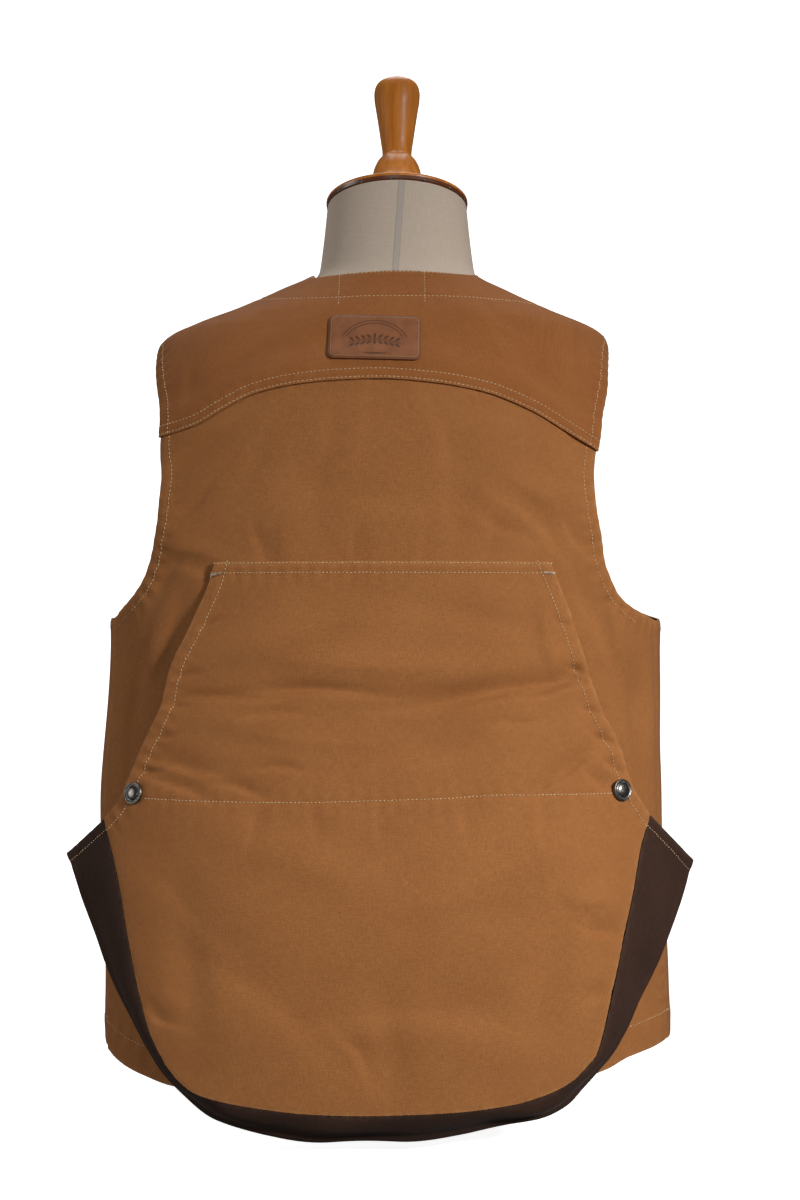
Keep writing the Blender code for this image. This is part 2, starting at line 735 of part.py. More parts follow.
def front_grid(left, cols=16, low_rows=9, mid_rows=5, high_rows=10):
    """A front from its lap edge round to the side seam, hem to shoulder."""
    sign = 1 if left else -1
    hem_side = FRONT_HEM_LEFT_Z if left else FRONT_HEM_RIGHT_Z
    side = side_seam(left, hem_side, False)
    front_arm = [p for p in armhole(left, "front")[::-1] if p[1] > side[-1][1] + 0.0008]
    names = [row[0] for row in ARMHOLE_ROWS]
    under_z = float(np.interp(-SHOULDER_UNDER_Y, [-row[3] for row in ARMHOLE_ROWS[:4]], names[:4]))
    arm_end = (float(angle_at_y(SHOULDER_UNDER_Y, under_z, left)), under_z)
    climb = [p for p in front_arm if p[1] < under_z - 0.001]
    turn = [p for p in climb if p[1] <= 0.4421]
    rest = [turn[-1]] + [p for p in climb if p[1] > 0.4421] + [arm_end]
    edge_side = joined(
        path(side, low_rows),
        path([side[-1]] + turn, mid_rows),
        path(rest, high_rows),
    )
    v_edge = [(front_angle(sign * off, z, left), z) for off, z in V_ROWS]
    lap = [(front_angle(-sign * FRONT_LAP, z, left), z) for z in (FRONT_HEM_CENTRE_Z, 0.20, 0.30)]
    row_end = (front_angle(-sign * FRONT_LAP, FRONT_ROW_Z, left), FRONT_ROW_Z)
    neck = [neck_point(angle if left else 180 - angle) for angle in (NECK_SEAM_ANGLE, NECK_UNDER_ANGLE)]
    edge_front = joined(
        path(lap + [row_end], low_rows),
        path([row_end, (v_edge[0][0], 0.43), v_edge[0]], mid_rows),
        path(v_edge + neck, high_rows),
    )
    shares = (np.linspace(0, 1, cols) ** 1.25) * 0.85 + np.linspace(0, 1, cols) * 0.15
    middle = (0.5 * (edge_front[0][0] + side[0][0]), 0.5 * (FRONT_HEM_CENTRE_Z + side[0][1]) - 0.001)
    bottom = path([edge_front[0], middle, side[0]], cols, shares=shares)
    top = path([neck[-1], arm_end], cols, shares=shares)
    return between(bottom, top, edge_front, edge_side, shares)


def front_angle(off, z, left):
    """The angle of a front's point at a distance from the middle line."""
    width = float(column(BODY_ROWS, 1, z))
    power = float(column(BODY_ROWS, 5, z))
    y = float(column(BODY_ROWS, 3, z)) * (1 - abs(off / width) ** power) ** (1 / power)
    angle = math.atan2(-y, off)
    return angle if left else angle + 2 * math.pi


def neck_point(degrees):
    """The neck edge's (angle, height) at an angle in degrees."""
    return (math.radians(degrees), float(column(NECK_ROWS, 1, degrees)))


def front_surface(left, grid):
    """Points and normals of a front: the right one rises where it laps over the left."""
    angle, z = grid[..., 0], grid[..., 1]
    points = surface(angle, z)
    normals = outward(angle, z)
    if left:
        return points, normals
    off = points[..., 0] - column(BODY_ROWS, 4, z)
    lap = ease((off + 0.038) / 0.02) * (z < 0.60)
    return points + normals * (LAP_RISE * lap)[..., None], normals


def make_front(left, finish, home):
    """One of the two plain fronts."""
    points, normals = front_surface(left, front_grid(left))
    return wall("front_left" if left else "front_right", points, normals, CLOTH, finish, home)


# The game bag


def bag_grid(cols=21, high_rows=9, low_rows=10):
    """The bag's outer panel, from its bottom seam to its top edge."""
    left = joined(
        path(on_back(BAG_LEFT_SEAM[::-1], True), low_rows),
        path(on_back(BAG_LEFT_EDGE[::-1], True), high_rows),
    )
    right = joined(
        path(on_back(BAG_RIGHT_SEAM, True), low_rows),
        path(on_back(BAG_RIGHT_EDGE[::-1], True), high_rows),
    )
    bottom = path(on_back(BAG_BOTTOM_SEAM, True), cols)
    top = path([left[-1], (math.pi / 2, BAG_LEFT_EDGE[0][1]), right[-1]], cols)
    return between(bottom, top, left, right)


def bag_surface(grid):
    """Points of the bag panel's outer surface."""
    return surface(grid[..., 0], grid[..., 1], True)


def bag_seam_loop(grid, low_rows=10):
    """Row and column indices of the grid's seam to the gusset, left wing to right."""
    cols = grid.shape[1]
    down = [(r, 0) for r in range(low_rows - 1, 0, -1)]
    across = [(0, c) for c in range(cols)]
    up = [(r, cols - 1) for r in range(1, low_rows)]
    return down + across + up


def gusset_grid(seam, rows_per_side=3):
    """The gusset's strip: rows run along the bag, from its seam over the outer fold to the back."""
    count = len(seam)
    fold = path(FOLD_ROWS, count, (1.0, 1.0, 1.0))
    lines = on_back(ATTACH_ROWS)
    attach = path(lines, count)
    attach = surface(attach[:, 0], attach[:, 1]) + outward(attach[:, 0], attach[:, 1]) * (
        CLOTH + SEAM_GAP
    )
    rows = []
    for share in np.linspace(0, 1, rows_per_side + 1)[:-1]:
        rows.append(seam + (fold - seam) * share * 0.90 + bulge(seam, fold, share))
    out_dir = unit(fold - seam)
    in_dir = unit(fold - attach)
    middle = unit(out_dir + in_dir)
    rows.append(fold - out_dir * FOLD_ROUND)
    rows.append(fold + middle * 0.0005)
    rows.append(fold - in_dir * FOLD_ROUND)
    for share in np.linspace(1, 0, rows_per_side + 1)[1:]:
        rows.append(attach + (fold - attach) * share * 0.86)
    return np.array(rows)


def bulge(start, end, share):
    """A soft outward belly between two edges of the gusset."""
    way = end - start
    side = unit(np.cross(way, np.gradient(start, axis=0)))
    run = np.linspace(0, 1, len(start))[:, None]
    ends = ease(run / 0.12) * ease((1 - run) / 0.12)
    size = 0.08 * np.linalg.norm(way, axis=1, keepdims=True) * math.sin(math.pi * share)
    return side * size * ends


def unit(vectors):
    """Vectors of length one."""
    return vectors / np.maximum(np.linalg.norm(vectors, axis=-1, keepdims=True), 1e-9)


def make_bag(tan, brown, home):
    """The bag panel and the gusset, whose walls meet on one mitre."""
    grid = bag_grid()
    points = bag_surface(grid)
    normals = grid_normals(points)
    if (normals[..., 1]).mean() < 0:
        normals = -normals
    loop = bag_seam_loop(grid)
    seam = np.array([points[r, c] for r, c in loop])
    strip = gusset_grid(seam)
    strip_normals = grid_normals(strip)
    if (strip_normals[1] * np.array([normals[r, c] for r, c in loop])).sum() < 0:
        strip_normals = -strip_normals
    into_strip = unit(strip[1] - strip[0])
    for i, (r, c) in enumerate(loop):
        shared = unit(normals[r, c] + strip_normals[0, i])
        normals[r, c] = shared
        strip_normals[0, i] = shared
        across = unit(into_strip[i] - shared * float(into_strip[i] @ shared))
        points[r, c] = points[r, c] - across * SEAM_GAP
        strip[0, i] = strip[0, i] + across * SEAM_GAP
    wall("bag_panel", points, normals, CLOTH, tan, home)
    wall("bag_gusset", strip, strip_normals, CLOTH, brown, home)
    return points, normals


# Studs, patch and form


def place_stud(name, point, normal, finish, home):
    """A domed press-stud cap that lies on the cloth."""
    dome = [(STUD_RADIUS * math.cos(a), STUD_HEIGHT * (0.35 + 0.65 * math.sin(a))) for a in
            np.linspace(math.pi / 2, 0.0, 5)]
    profile = [(0.0, dome[0][1])] + dome[1:] + [(STUD_RADIUS, 0.0), (0.0, 0.0)]
    made = turned(name, profile, finish, home, 18)
    along = np.cross((0.0, 0.0, 1.0), normal)
    along /= np.linalg.norm(along)
    up = np.cross(normal, along)
    turn = np.eye(4)
    turn[:3, 0] = along
    turn[:3, 1] = up
    turn[:3, 2] = normal
    turn[:3, 3] = point + normal * STUD_LIFT
    made.matrix_world = [list(map(float, row)) for row in turn.T]
    return made


def make_studs(finish, home):
    """Two studs at the bag's corners and a row down the front."""
    for name, x, z in (("bag_snap_left", 0.1937, 0.2551), ("bag_snap_right", -0.1653, 0.2574)):
        angle = angle_at_x(np.float64(x), np.float64(z), True)
        place_stud(name, surface(angle, z, True), outward(angle, z, True), finish, home)
    for i in range(FRONT_STUDS):
        z = FRONT_STUD_TOP - i * FRONT_STUD_PITCH
        angle = np.float64(-math.pi / 2)
        normal = outward(angle, z)
        point = surface(angle, z) + normal * LAP_RISE
        place_stud("front_snap_%d" % (i + 1), point, normal, finish, home)


def make_patch(finish, home):
    """The leather patch on the yoke, its corners rounded."""
    half_w = PATCH_WIDTH / 2
    half_h = PATCH_HEIGHT / 2
    insets = [0.0, 0.3 * PATCH_CORNER, PATCH_CORNER]
    steps = insets + [0.5 * PATCH_HEIGHT] + [PATCH_HEIGHT - i for i in insets[::-1]]
    rows = []
    for step in steps:
        near = min(step, PATCH_HEIGHT - step)
        cut = max(PATCH_CORNER - near, 0.0)
        reach = half_w - PATCH_CORNER + math.sqrt(PATCH_CORNER**2 - cut**2)
        v = step - half_h
        u = np.linspace(-reach, reach, 9)
        x = PATCH_CENTRE_X + u * math.cos(PATCH_TILT) - v * math.sin(PATCH_TILT)
        z = PATCH_CENTRE_Z + v * math.cos(PATCH_TILT) + u * math.sin(PATCH_TILT)
        rows.append(np.stack([angle_at_x(x, z), z], axis=1))
    grid = np.array(rows)
    points, normals = yoke_surface(grid, SEAM_GAP * 1.7 + PATCH_THICK)
    return wall("leather_patch", points, normals, PATCH_THICK, finish, home)


def form_ring(z, around=40):
    """One ring of the dress form; those of the neck tilt up to the cap's slope."""
    angle = np.linspace(0, 2 * math.pi, around, endpoint=False)
    width, back, front, centre, power = (float(column(FORM_ROWS, i, z)) for i in range(1, 6))
    depth = np.where(np.sin(angle) > 0, back, front)
    reach = ((np.abs(np.cos(angle)) / width) ** power + (np.abs(np.sin(angle)) / depth) ** power) ** (
        -1 / power
    )
    x = centre + reach * np.cos(angle)
    y = reach * np.sin(angle)
    share = ease((z - NECK_TILT_FROM) / (FORM_ROWS[-1][0] - NECK_TILT_FROM))
    return np.stack([x, y, z + y * math.tan(CAP_TILT) * share], axis=1)


def make_form(linen, wood, home):
    """The torso, the neck cap, the knob and the foot."""
    heights = [row[0] for row in FORM_ROWS]
    middles = [0.10, 0.16, 0.23, 0.31, 0.39, 0.46]
    rings = [form_ring(z) for z in sorted(heights + middles)]
    ring_solid("form_torso", rings, linen, home)
    low = CAP_CENTRE_Z
    cap_profile = [
        (0.0, CAP_THICK),
        (CAP_RADIUS * 0.6, CAP_THICK),
        (CAP_RADIUS - 0.0012, CAP_THICK),
        (CAP_RADIUS, CAP_THICK - 0.0012),
        (CAP_RADIUS, 0.0012),
        (CAP_RADIUS - 0.0012, 0.0),
        (0.0, 0.0),
    ]
    cap = turned("form_cap", cap_profile, wood, home, 40)
    cap.location = (0.0, 0.0, low)
    cap.rotation_euler = (CAP_TILT, 0.0, 0.0)
    knob = turned("form_knob", knob_profile(), wood, home, 26)
    lift = CAP_THICK + SEAM_GAP
    knob.location = (0.0, -lift * math.sin(CAP_TILT), low + lift * math.cos(CAP_TILT))
    knob.rotation_euler = (CAP_TILT, 0.0, 0.0)
    foot = turned("form_foot", foot_profile(), wood, home, 40)
    foot.scale = (1.0, FOOT_DEPTH_SHARE, 1.0)


def knob_profile():
    """The knob's outline, top to bottom."""
    h = KNOB_HEIGHT
    return [
        (0.0, h),
        (0.0062, h - 0.0006),
        (0.0118, h - 0.0030),
        (0.0165, h - 0.0075),
        (0.0186, h - 0.0130),
        (0.0185, h - 0.0190),
        (0.0166, h - 0.0285),
        (0.0142, h - 0.0400),
        (0.0123, h - 0.0530),
        (0.0116, h - 0.0630),
        (0.0121, h - 0.0680),
        (0.0150, h - 0.0735),
        (0.0182, h - 0.0765),
        (0.0218, h - 0.0795),
        (0.0245, h - 0.0845),
        (0.0250, h - 0.0915),
        (0.0300, h - 0.0965),
        (0.0310, h - 0.1025),
        (0.0300, 0.0),
        (0.0, 0.0),
    ]


def foot_profile():
    """The foot's outline, top to bottom, before it is made oval."""
    w = FOOT_HALF_WIDTH
    return [
        (0.0, FOOT_TOP),
        (0.060, FOOT_TOP),
        (0.062, FOOT_TOP - 0.002),
        (0.062, 0.030),
        (0.070, 0.024),
        (w - 0.008, 0.020),
        (w - 0.002, 0.016),
        (w, 0.011),
        (w, 0.002),
        (w - 0.002, 0.0),
        (0.0, 0.0),
    ]


def main():
    """Builds the vest on its form."""
    clear_scene()
    home = bpy.data.collections.new("hunting_vest")
    bpy.context.scene.collection.children.link(home)
    canvas = material("tan_canvas", (0.30, 0.155, 0.065), 0.85)
    brown = material("brown_canvas", (0.040, 0.024, 0.014), 0.85)
    leather = material("patch_leather", (0.17, 0.055, 0.022), 0.55)
    metal = material("gunmetal", (0.07, 0.065, 0.06), 0.35, 0.9)
    linen = material("linen", (0.40, 0.34, 0.28), 0.9)
    wood = material("varnished_wood", (0.42, 0.16, 0.045), 0.25)
    make_form(linen, wood, home)
    make_back(canvas, home)
    make_front(True, canvas, home)
    make_front(False, canvas, home)
    make_yoke(canvas, home)
    make_bag(canvas, brown, home)
    make_patch(leather, home)
    make_studs(metal, home)


main()
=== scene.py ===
"""Looks of a canvas hunting vest with a large game bag, on its dress form.

The cloth is fine thin shells on the same sections as the solids, with listed creases. Metres, +Z up;
the back of the vest faces +Y and its left side +X.
"""

import json
import logging
import math
from collections.abc import Sequence
from dataclasses import dataclass
from enum import Enum

import bpy
import numpy as np
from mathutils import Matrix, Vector
from mathutils.kdtree import KDTree

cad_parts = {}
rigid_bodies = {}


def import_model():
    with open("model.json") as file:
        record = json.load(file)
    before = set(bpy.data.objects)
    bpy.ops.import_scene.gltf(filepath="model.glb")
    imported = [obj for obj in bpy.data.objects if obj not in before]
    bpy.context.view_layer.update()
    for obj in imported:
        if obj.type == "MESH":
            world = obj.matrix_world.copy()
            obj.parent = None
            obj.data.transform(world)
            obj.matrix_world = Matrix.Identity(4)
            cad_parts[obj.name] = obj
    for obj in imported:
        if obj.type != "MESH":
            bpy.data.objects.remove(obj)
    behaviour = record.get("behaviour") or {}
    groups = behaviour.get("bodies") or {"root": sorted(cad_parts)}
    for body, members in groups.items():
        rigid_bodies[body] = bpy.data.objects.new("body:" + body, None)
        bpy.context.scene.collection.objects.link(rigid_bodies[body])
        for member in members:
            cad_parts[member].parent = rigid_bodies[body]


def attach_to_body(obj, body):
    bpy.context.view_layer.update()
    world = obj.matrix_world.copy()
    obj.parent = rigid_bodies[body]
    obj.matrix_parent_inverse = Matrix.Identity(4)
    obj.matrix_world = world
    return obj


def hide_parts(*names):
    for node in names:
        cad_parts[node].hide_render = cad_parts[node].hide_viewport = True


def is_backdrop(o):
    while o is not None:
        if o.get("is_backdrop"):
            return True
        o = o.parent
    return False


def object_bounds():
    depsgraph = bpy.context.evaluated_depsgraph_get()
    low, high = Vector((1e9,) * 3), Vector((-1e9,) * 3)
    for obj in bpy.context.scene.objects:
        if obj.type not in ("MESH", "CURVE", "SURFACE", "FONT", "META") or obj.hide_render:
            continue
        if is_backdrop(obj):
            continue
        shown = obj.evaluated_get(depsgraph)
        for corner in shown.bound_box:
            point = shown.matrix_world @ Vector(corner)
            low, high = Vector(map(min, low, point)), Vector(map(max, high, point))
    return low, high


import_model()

LOG = logging.getLogger("vest")
ROOT = "root"
Rows = Sequence[Sequence[float]]
Triple = tuple[float, float, float]
Array = np.ndarray
Faces = list[list[int]]
Pair = tuple[float, float]
Item = bpy.types.Object
Material = bpy.types.Material
Socket = bpy.types.NodeSocket


class Side(Enum):
    """A side of a panel's grid of points."""

    LEFT = "left"
    RIGHT = "right"
    BOTTOM = "bottom"
    TOP = "top"


class Slot(Enum):
    """The record's material slots."""

    TAN = "tan_canvas"
    BROWN = "brown_canvas"
    LEATHER = "patch_leather"
    METAL = "gunmetal"
    LINEN = "linen"
    WOOD = "varnished_wood"


# Smooth curves and tables


ANGLE_SCALE = (0.2, 1.0)


def curve_through(at: Array, knots: Sequence[float], values: Sequence[float]) -> Array:
    """Reads a smooth curve through the knots, which never overshoots them.

    Args:
        at: Where the curve is read.
        knots: Places of the knots.
        values: The curve's values at the knots.

    Returns:
        The values at the places given.
    """
    order = np.argsort(knots)
    knots = np.asarray(knots, float)[order]
    values = np.asarray(values, float)[order]
    steps = np.diff(knots)
    slopes = np.diff(values) / steps
    tangents = np.zeros_like(values)
    tangents[0] = slopes[0]
    tangents[-1] = slopes[-1]
    for i in range(1, len(knots) - 1):
        if slopes[i - 1] * slopes[i] > 0:
            before = 2 * steps[i] + steps[i - 1]
            after = steps[i] + 2 * steps[i - 1]
            tangents[i] = (before + after) / (before / slopes[i - 1] + after / slopes[i])
    at = np.clip(at, knots[0], knots[-1])
    k = np.clip(np.searchsorted(knots, at) - 1, 0, len(steps) - 1)
    t = (at - knots[k]) / steps[k]
    h = steps[k]
    return (
        (2 * t**3 - 3 * t**2 + 1) * values[k]
        + (t**3 - 2 * t**2 + t) * h * tangents[k]
        + (-2 * t**3 + 3 * t**2) * values[k + 1]
        + (t**3 - t**2) * h * tangents[k + 1]
    )


def ease(value: Array) -> Array:
    """0 below 0, 1 above 1 and a smooth step between."""
    value = np.clip(value, 0.0, 1.0)
    return value * value * (3 - 2 * value)


def unit(vectors: Array) -> Array:
    """Vectors of length one."""
    return vectors / np.maximum(np.linalg.norm(vectors, axis=-1, keepdims=True), 1e-9)


@dataclass(frozen=True)
class Table:
    """A short table with named columns, read along smooth curves by its first column."""

    columns: tuple[str, ...]
    rows: tuple[tuple[float, ...], ...]

    def at(self, name: str, key: Array) -> Array:
        """One column's values at the first column's values given."""
        data = np.array(self.rows)
        return curve_through(np.asarray(key, float), data[:, 0], data[:, self.columns.index(name)])


def path(points: Rows, count: int, scale: Sequence[float] = ANGLE_SCALE) -> Array:
    """Evenly spaced points along the smooth curve through some points.

    Args:
        points: The points, (angle, height) ones by default.
        count: How many points to make.
        scale: What each coordinate is multiplied by to measure lengths.

    Returns:
        The points, one a row.
    """
    rows = np.asarray(points, float)
    size = np.ones(rows.shape[1])
    size[: len(scale)] = scale
    along = np.concatenate([[0], np.cumsum(np.linalg.norm(np.diff(rows * size, axis=0), axis=1))])
    at = along[-1] * np.linspace(0, 1, count)
    return np.stack([curve_through(at, along, rows[:, i]) for i in range(rows.shape[1])], axis=1)


def joined(*paths: Array) -> Array:
    """Paths end to end, their shared points once."""
    return np.concatenate([paths[0]] + [p[1:] for p in paths[1:]])


def between(bottom: Array, top: Array, left: Array, right: Array) -> Array:
    """A grid over the area inside four edge paths: rows go from bottom to top."""
    v = np.linspace(0, 1, len(left))[:, None, None]
    u = np.linspace(0, 1, len(bottom))[None, :, None]
    across = (1 - u) * left[:, None, :] + u * right[:, None, :]
    along = (1 - v) * bottom[None] + v * top[None]
    corners = (1 - v) * ((1 - u) * bottom[0] + u * bottom[-1]) + v * ((1 - u) * top[0] + u * top[-1])
    return across + along - corners


def evened(grid: Array, rounds: int) -> Array:
    """The grid with its inner points moved to the middle of their neighbours, some rounds over."""
    grid = grid.copy()
    for _ in range(rounds):
        grid[1:-1, 1:-1] = 0.25 * (grid[:-2, 1:-1] + grid[2:, 1:-1] + grid[1:-1, :-2] + grid[1:-1, 2:])
    return grid


def odd_rows(grid: Array) -> Array:
    """The grid with its last row left out where its number of rows is even."""
    return grid if len(grid) % 2 else grid[:-1]


def grid_normals(points: Array) -> Array:
    """Unit normals of a grid of points."""
    return unit(np.cross(np.gradient(points, axis=1), np.gradient(points, axis=0)))


# The vest's shape


SECTION_COLUMNS = ("z", "half_width", "back", "front", "centre_x", "exponent")
BODY = Table(
    SECTION_COLUMNS,
    (
        (0.025, 0.2235, 0.132, 0.134, 0.0065, 2.5), (0.1, 0.223, 0.13, 0.133, 0.008, 2.5),
        (0.18, 0.2228, 0.128, 0.131, 0.0105, 2.5), (0.25, 0.2222, 0.127, 0.13, 0.0122, 2.45),
        (0.32, 0.219, 0.128, 0.129, 0.0104, 2.4), (0.385, 0.2172, 0.13, 0.128, 0.0092, 2.4),
        (0.45, 0.213, 0.13, 0.124, 0.011, 2.4), (0.51, 0.205, 0.127, 0.118, 0.0125, 2.35),
        (0.56, 0.194, 0.119, 0.109, 0.012, 2.25), (0.595, 0.181, 0.105, 0.097, 0.011, 2.15),
        (0.6095, 0.172, 0.098, 0.09, 0.008, 2.1), (0.6165, 0.1595, 0.094, 0.086, 0.005, 2.1),
        (0.6285, 0.1295, 0.086, 0.077, 0.004, 2.05), (0.644, 0.096, 0.074, 0.066, 0.0035, 2.0),
        (0.66, 0.0648, 0.062, 0.056, 0.001, 2.0), (0.675, 0.06, 0.058, 0.053, 0.0, 2.0),
    ),
)
BAG = Table(
    ("z", "half_width", "back", "centre_x"),
    (
        (0.0, 0.018, 0.044, 0.013), (0.03, 0.02, 0.046, 0.012), (0.08, 0.022, 0.046, 0.01),
        (0.14, 0.022, 0.042, 0.007), (0.2, 0.02, 0.035, 0.004), (0.2535, 0.018, 0.026, 0.0015),
        (0.28, 0.017, 0.022, 0.0015), (0.33, 0.013, 0.014, 0.001), (0.38, 0.0075, 0.007, 0.0),
        (0.415, 0.0034, 0.0034, 0.0), (0.43, 0.0026, 0.0026, 0.0),
    ),
)
ARMHOLE = Table(
    ("z", "y_left", "y_right", "y_front"),
    (
        (0.604, 0.0, 0.0, 0.0), (0.598, 0.018, 0.018, -0.018), (0.59, 0.033, 0.033, -0.032),
        (0.578, 0.047, 0.047, -0.045), (0.558, 0.0646, 0.0625, -0.06), (0.532, 0.08, 0.079, -0.073),
        (0.51, 0.085, 0.088, -0.08), (0.489, 0.0895, 0.093, -0.084), (0.462, 0.0915, 0.096, -0.086),
        (0.442, 0.0895, 0.095, -0.084), (0.428, 0.0868, 0.094, -0.081), (0.415, 0.0825, 0.0915, -0.076),
        (0.403, 0.074, 0.0875, -0.068), (0.396, 0.065, 0.0815, -0.056), (0.391, 0.056, 0.073, -0.04),
        (0.388, 0.05, 0.064, -0.02), (0.3855, 0.0455, 0.054, 0.015), (0.3835, 0.042, 0.045, 0.045),
    ),
)
YOKE_EDGE = Table(
    ("x", "z"),
    (
        (0.15, 0.5283), (0.128, 0.54), (0.1067, 0.55), (0.0783, 0.5564), (0.0442, 0.5596), (0.0118, 0.5606),
        (-0.0206, 0.5585), (-0.0635, 0.5516), (-0.1006, 0.5377), (-0.125, 0.524), (-0.1418, 0.5148),
    ),
)
NECK = Table(
    ("degrees", "z"),
    (
        (-45.0, 0.645), (-25.0, 0.655), (0.0, 0.6595), (20.0, 0.656), (40.0, 0.6502), (60.0, 0.65),
        (90.0, 0.6512), (120.0, 0.6512), (140.0, 0.6527), (160.0, 0.657), (180.0, 0.6595), (205.0, 0.655),
        (225.0, 0.645),
    ),
)
V_EDGE = (
    (-0.015, 0.49), (0.017, 0.522), (0.035, 0.56), (0.0455, 0.595), (0.0525, 0.62), (0.058, 0.638),
)
HEM = (
    (0.2124, 0.0512), (0.203, 0.044), (0.19, 0.041), (0.168, 0.0366), (0.1, 0.033), (0.0, 0.033),
    (-0.1, 0.037), (-0.1564, 0.0485), (-0.1741, 0.0552), (-0.2011, 0.06),
)
BAG_LEFT_EDGE = (
    (0.1345, 0.4262), (0.1383, 0.412), (0.1468, 0.392), (0.158, 0.3684), (0.164, 0.357), (0.1695, 0.342),
    (0.1735, 0.3241), (0.1882, 0.2914), (0.1994, 0.2654), (0.2065, 0.25), (0.2189, 0.2348),
)
BAG_RIGHT_EDGE = (
    (-0.113, 0.4262), (-0.118, 0.4141), (-0.1261, 0.3934), (-0.1346, 0.3691), (-0.1415, 0.347),
    (-0.1488, 0.3241), (-0.1656, 0.2891), (-0.1743, 0.2616), (-0.1887, 0.2379),
)
BAG_LEFT_SEAM = (
    (0.2189, 0.2348), (0.2081, 0.2002), (0.2025, 0.179), (0.198, 0.1565), (0.1919, 0.1299), (0.186, 0.107),
    (0.178, 0.0829), (0.1664, 0.0626),
)
BAG_BOTTOM_SEAM = (
    (0.1664, 0.0626), (0.1566, 0.052), (0.1444, 0.0441), (0.1243, 0.0393), (0.1005, 0.0361),
    (0.0656, 0.0328), (0.024, 0.0317), (-0.0374, 0.0334), (-0.0816, 0.0376), (-0.1091, 0.0441),
    (-0.1287, 0.0535), (-0.135, 0.0594),
)
BAG_RIGHT_SEAM = (
    (-0.135, 0.0594), (-0.1441, 0.0685), (-0.1479, 0.0789), (-0.1542, 0.1033), (-0.1598, 0.1249),
    (-0.1673, 0.1565), (-0.1741, 0.1832), (-0.1805, 0.213), (-0.1887, 0.2379),
)
GUSSET_FOLD = (
    (0.2515, 0.07, 0.2062), (0.2445, 0.08, 0.1935), (0.235, 0.086, 0.1708), (0.2258, 0.096, 0.151),
    (0.2168, 0.102, 0.1285), (0.1991, 0.118, 0.0965), (0.1834, 0.13, 0.0695), (0.1717, 0.136, 0.054),
    (0.1557, 0.142, 0.0401), (0.1296, 0.15, 0.0233), (0.092, 0.155, 0.0138), (0.0459, 0.158, 0.009),
    (-0.0007, 0.158, 0.009), (-0.0445, 0.155, 0.0138), (-0.0785, 0.15, 0.0205), (-0.1061, 0.146, 0.0251),
    (-0.1239, 0.142, 0.0329), (-0.1343, 0.138, 0.0423), (-0.1457, 0.134, 0.0529), (-0.1573, 0.129, 0.0648),
    (-0.1669, 0.124, 0.0799), (-0.1775, 0.116, 0.0983), (-0.1891, 0.106, 0.1171), (-0.2055, 0.092, 0.1508),
    (-0.2165, 0.08, 0.1735), (-0.2228, 0.073, 0.1898), (-0.2262, 0.07, 0.201),
)
GUSSET_ATTACH = (
    (0.2225, 0.215), (0.2235, 0.16), (0.212, 0.115), (0.19, 0.085), (0.16, 0.063), (0.12, 0.052),
    (0.05, 0.048), (-0.05, 0.049), (-0.11, 0.056), (-0.14, 0.068), (-0.165, 0.085), (-0.188, 0.115),
    (-0.204, 0.16), (-0.2005, 0.215),
)
FORM = Table(
    SECTION_COLUMNS,
    (
        (0.063, 0.12, 0.078, 0.074, 0.0, 2.2), (0.066, 0.133, 0.089, 0.085, 0.0, 2.2),
        (0.075, 0.142, 0.097, 0.093, 0.0, 2.2), (0.13, 0.153, 0.106, 0.1, 0.0, 2.2),
        (0.19, 0.152, 0.104, 0.098, 0.0, 2.2), (0.27, 0.136, 0.093, 0.089, 0.0, 2.2),
        (0.35, 0.139, 0.099, 0.098, 0.0, 2.2), (0.43, 0.148, 0.112, 0.11, 0.0, 2.2),
        (0.49, 0.151, 0.118, 0.112, 0.001, 2.2), (0.54, 0.154, 0.118, 0.108, 0.003, 2.2),
        (0.57, 0.156, 0.112, 0.103, 0.004, 2.17), (0.5918, 0.155, 0.1028, 0.0948, 0.004, 2.13),
        (0.603, 0.151, 0.0965, 0.0886, 0.004, 2.1), (0.612, 0.143, 0.0918, 0.0838, 0.0035, 2.08),
        (0.6195, 0.132, 0.0868, 0.0785, 0.003, 2.05), (0.6295, 0.114, 0.08, 0.072, 0.003, 2.02),
        (0.64, 0.093, 0.0718, 0.0638, 0.0025, 2.0), (0.649, 0.0755, 0.0655, 0.0585, 0.001, 2.0),
        (0.656, 0.0654, 0.06, 0.0545, 0.0, 2.0), (0.6595, 0.0628, 0.0588, 0.054, 0.0, 2.0),
        (0.664, 0.0615, 0.058, 0.0535, 0.0, 2.0), (0.672, 0.0603, 0.0572, 0.0536, 0.0, 2.0),
        (0.69, 0.058, 0.0558, 0.0545, 0.0, 2.0), (0.7128, 0.0556, 0.0549, 0.0549, 0.0, 2.0),
    ),
)


# Creases


@dataclass(frozen=True)
class Creases:
    """Soft troughs and ridges, listed one by one.

    Each row gives a crease's middle, its direction, its half length and half width and how far out it stands.
    A crease bends a little along its length, and one flank is steeper than the other unless it is even.
    """

    rows: tuple[tuple[float, ...], ...]
    even: bool = False
    strength: float = 1.0

    def at(self, across: Array, z: Array) -> Array:
        """How far the creases move the cloth out at each place."""
        total = np.zeros(np.broadcast(across, z).shape)
        for number, (mid, mid_z, degrees, half_length, half_width, height) in enumerate(self.rows):
            turn = math.radians(degrees)
            along = (across - mid) * math.cos(turn) + (z - mid_z) * math.sin(turn)
            over = (z - mid_z) * math.cos(turn) - (across - mid) * math.sin(turn)
            flank = half_width
            if not self.even:
                over = over + 0.35 * half_width * np.sin(2.1 * along / half_length + number)
                flank = np.where(over > 0, 1.5, 0.6) * half_width
            total = total + height * np.exp(-((along / half_length) ** 2) - (over / flank) ** 2)
        return self.strength * total


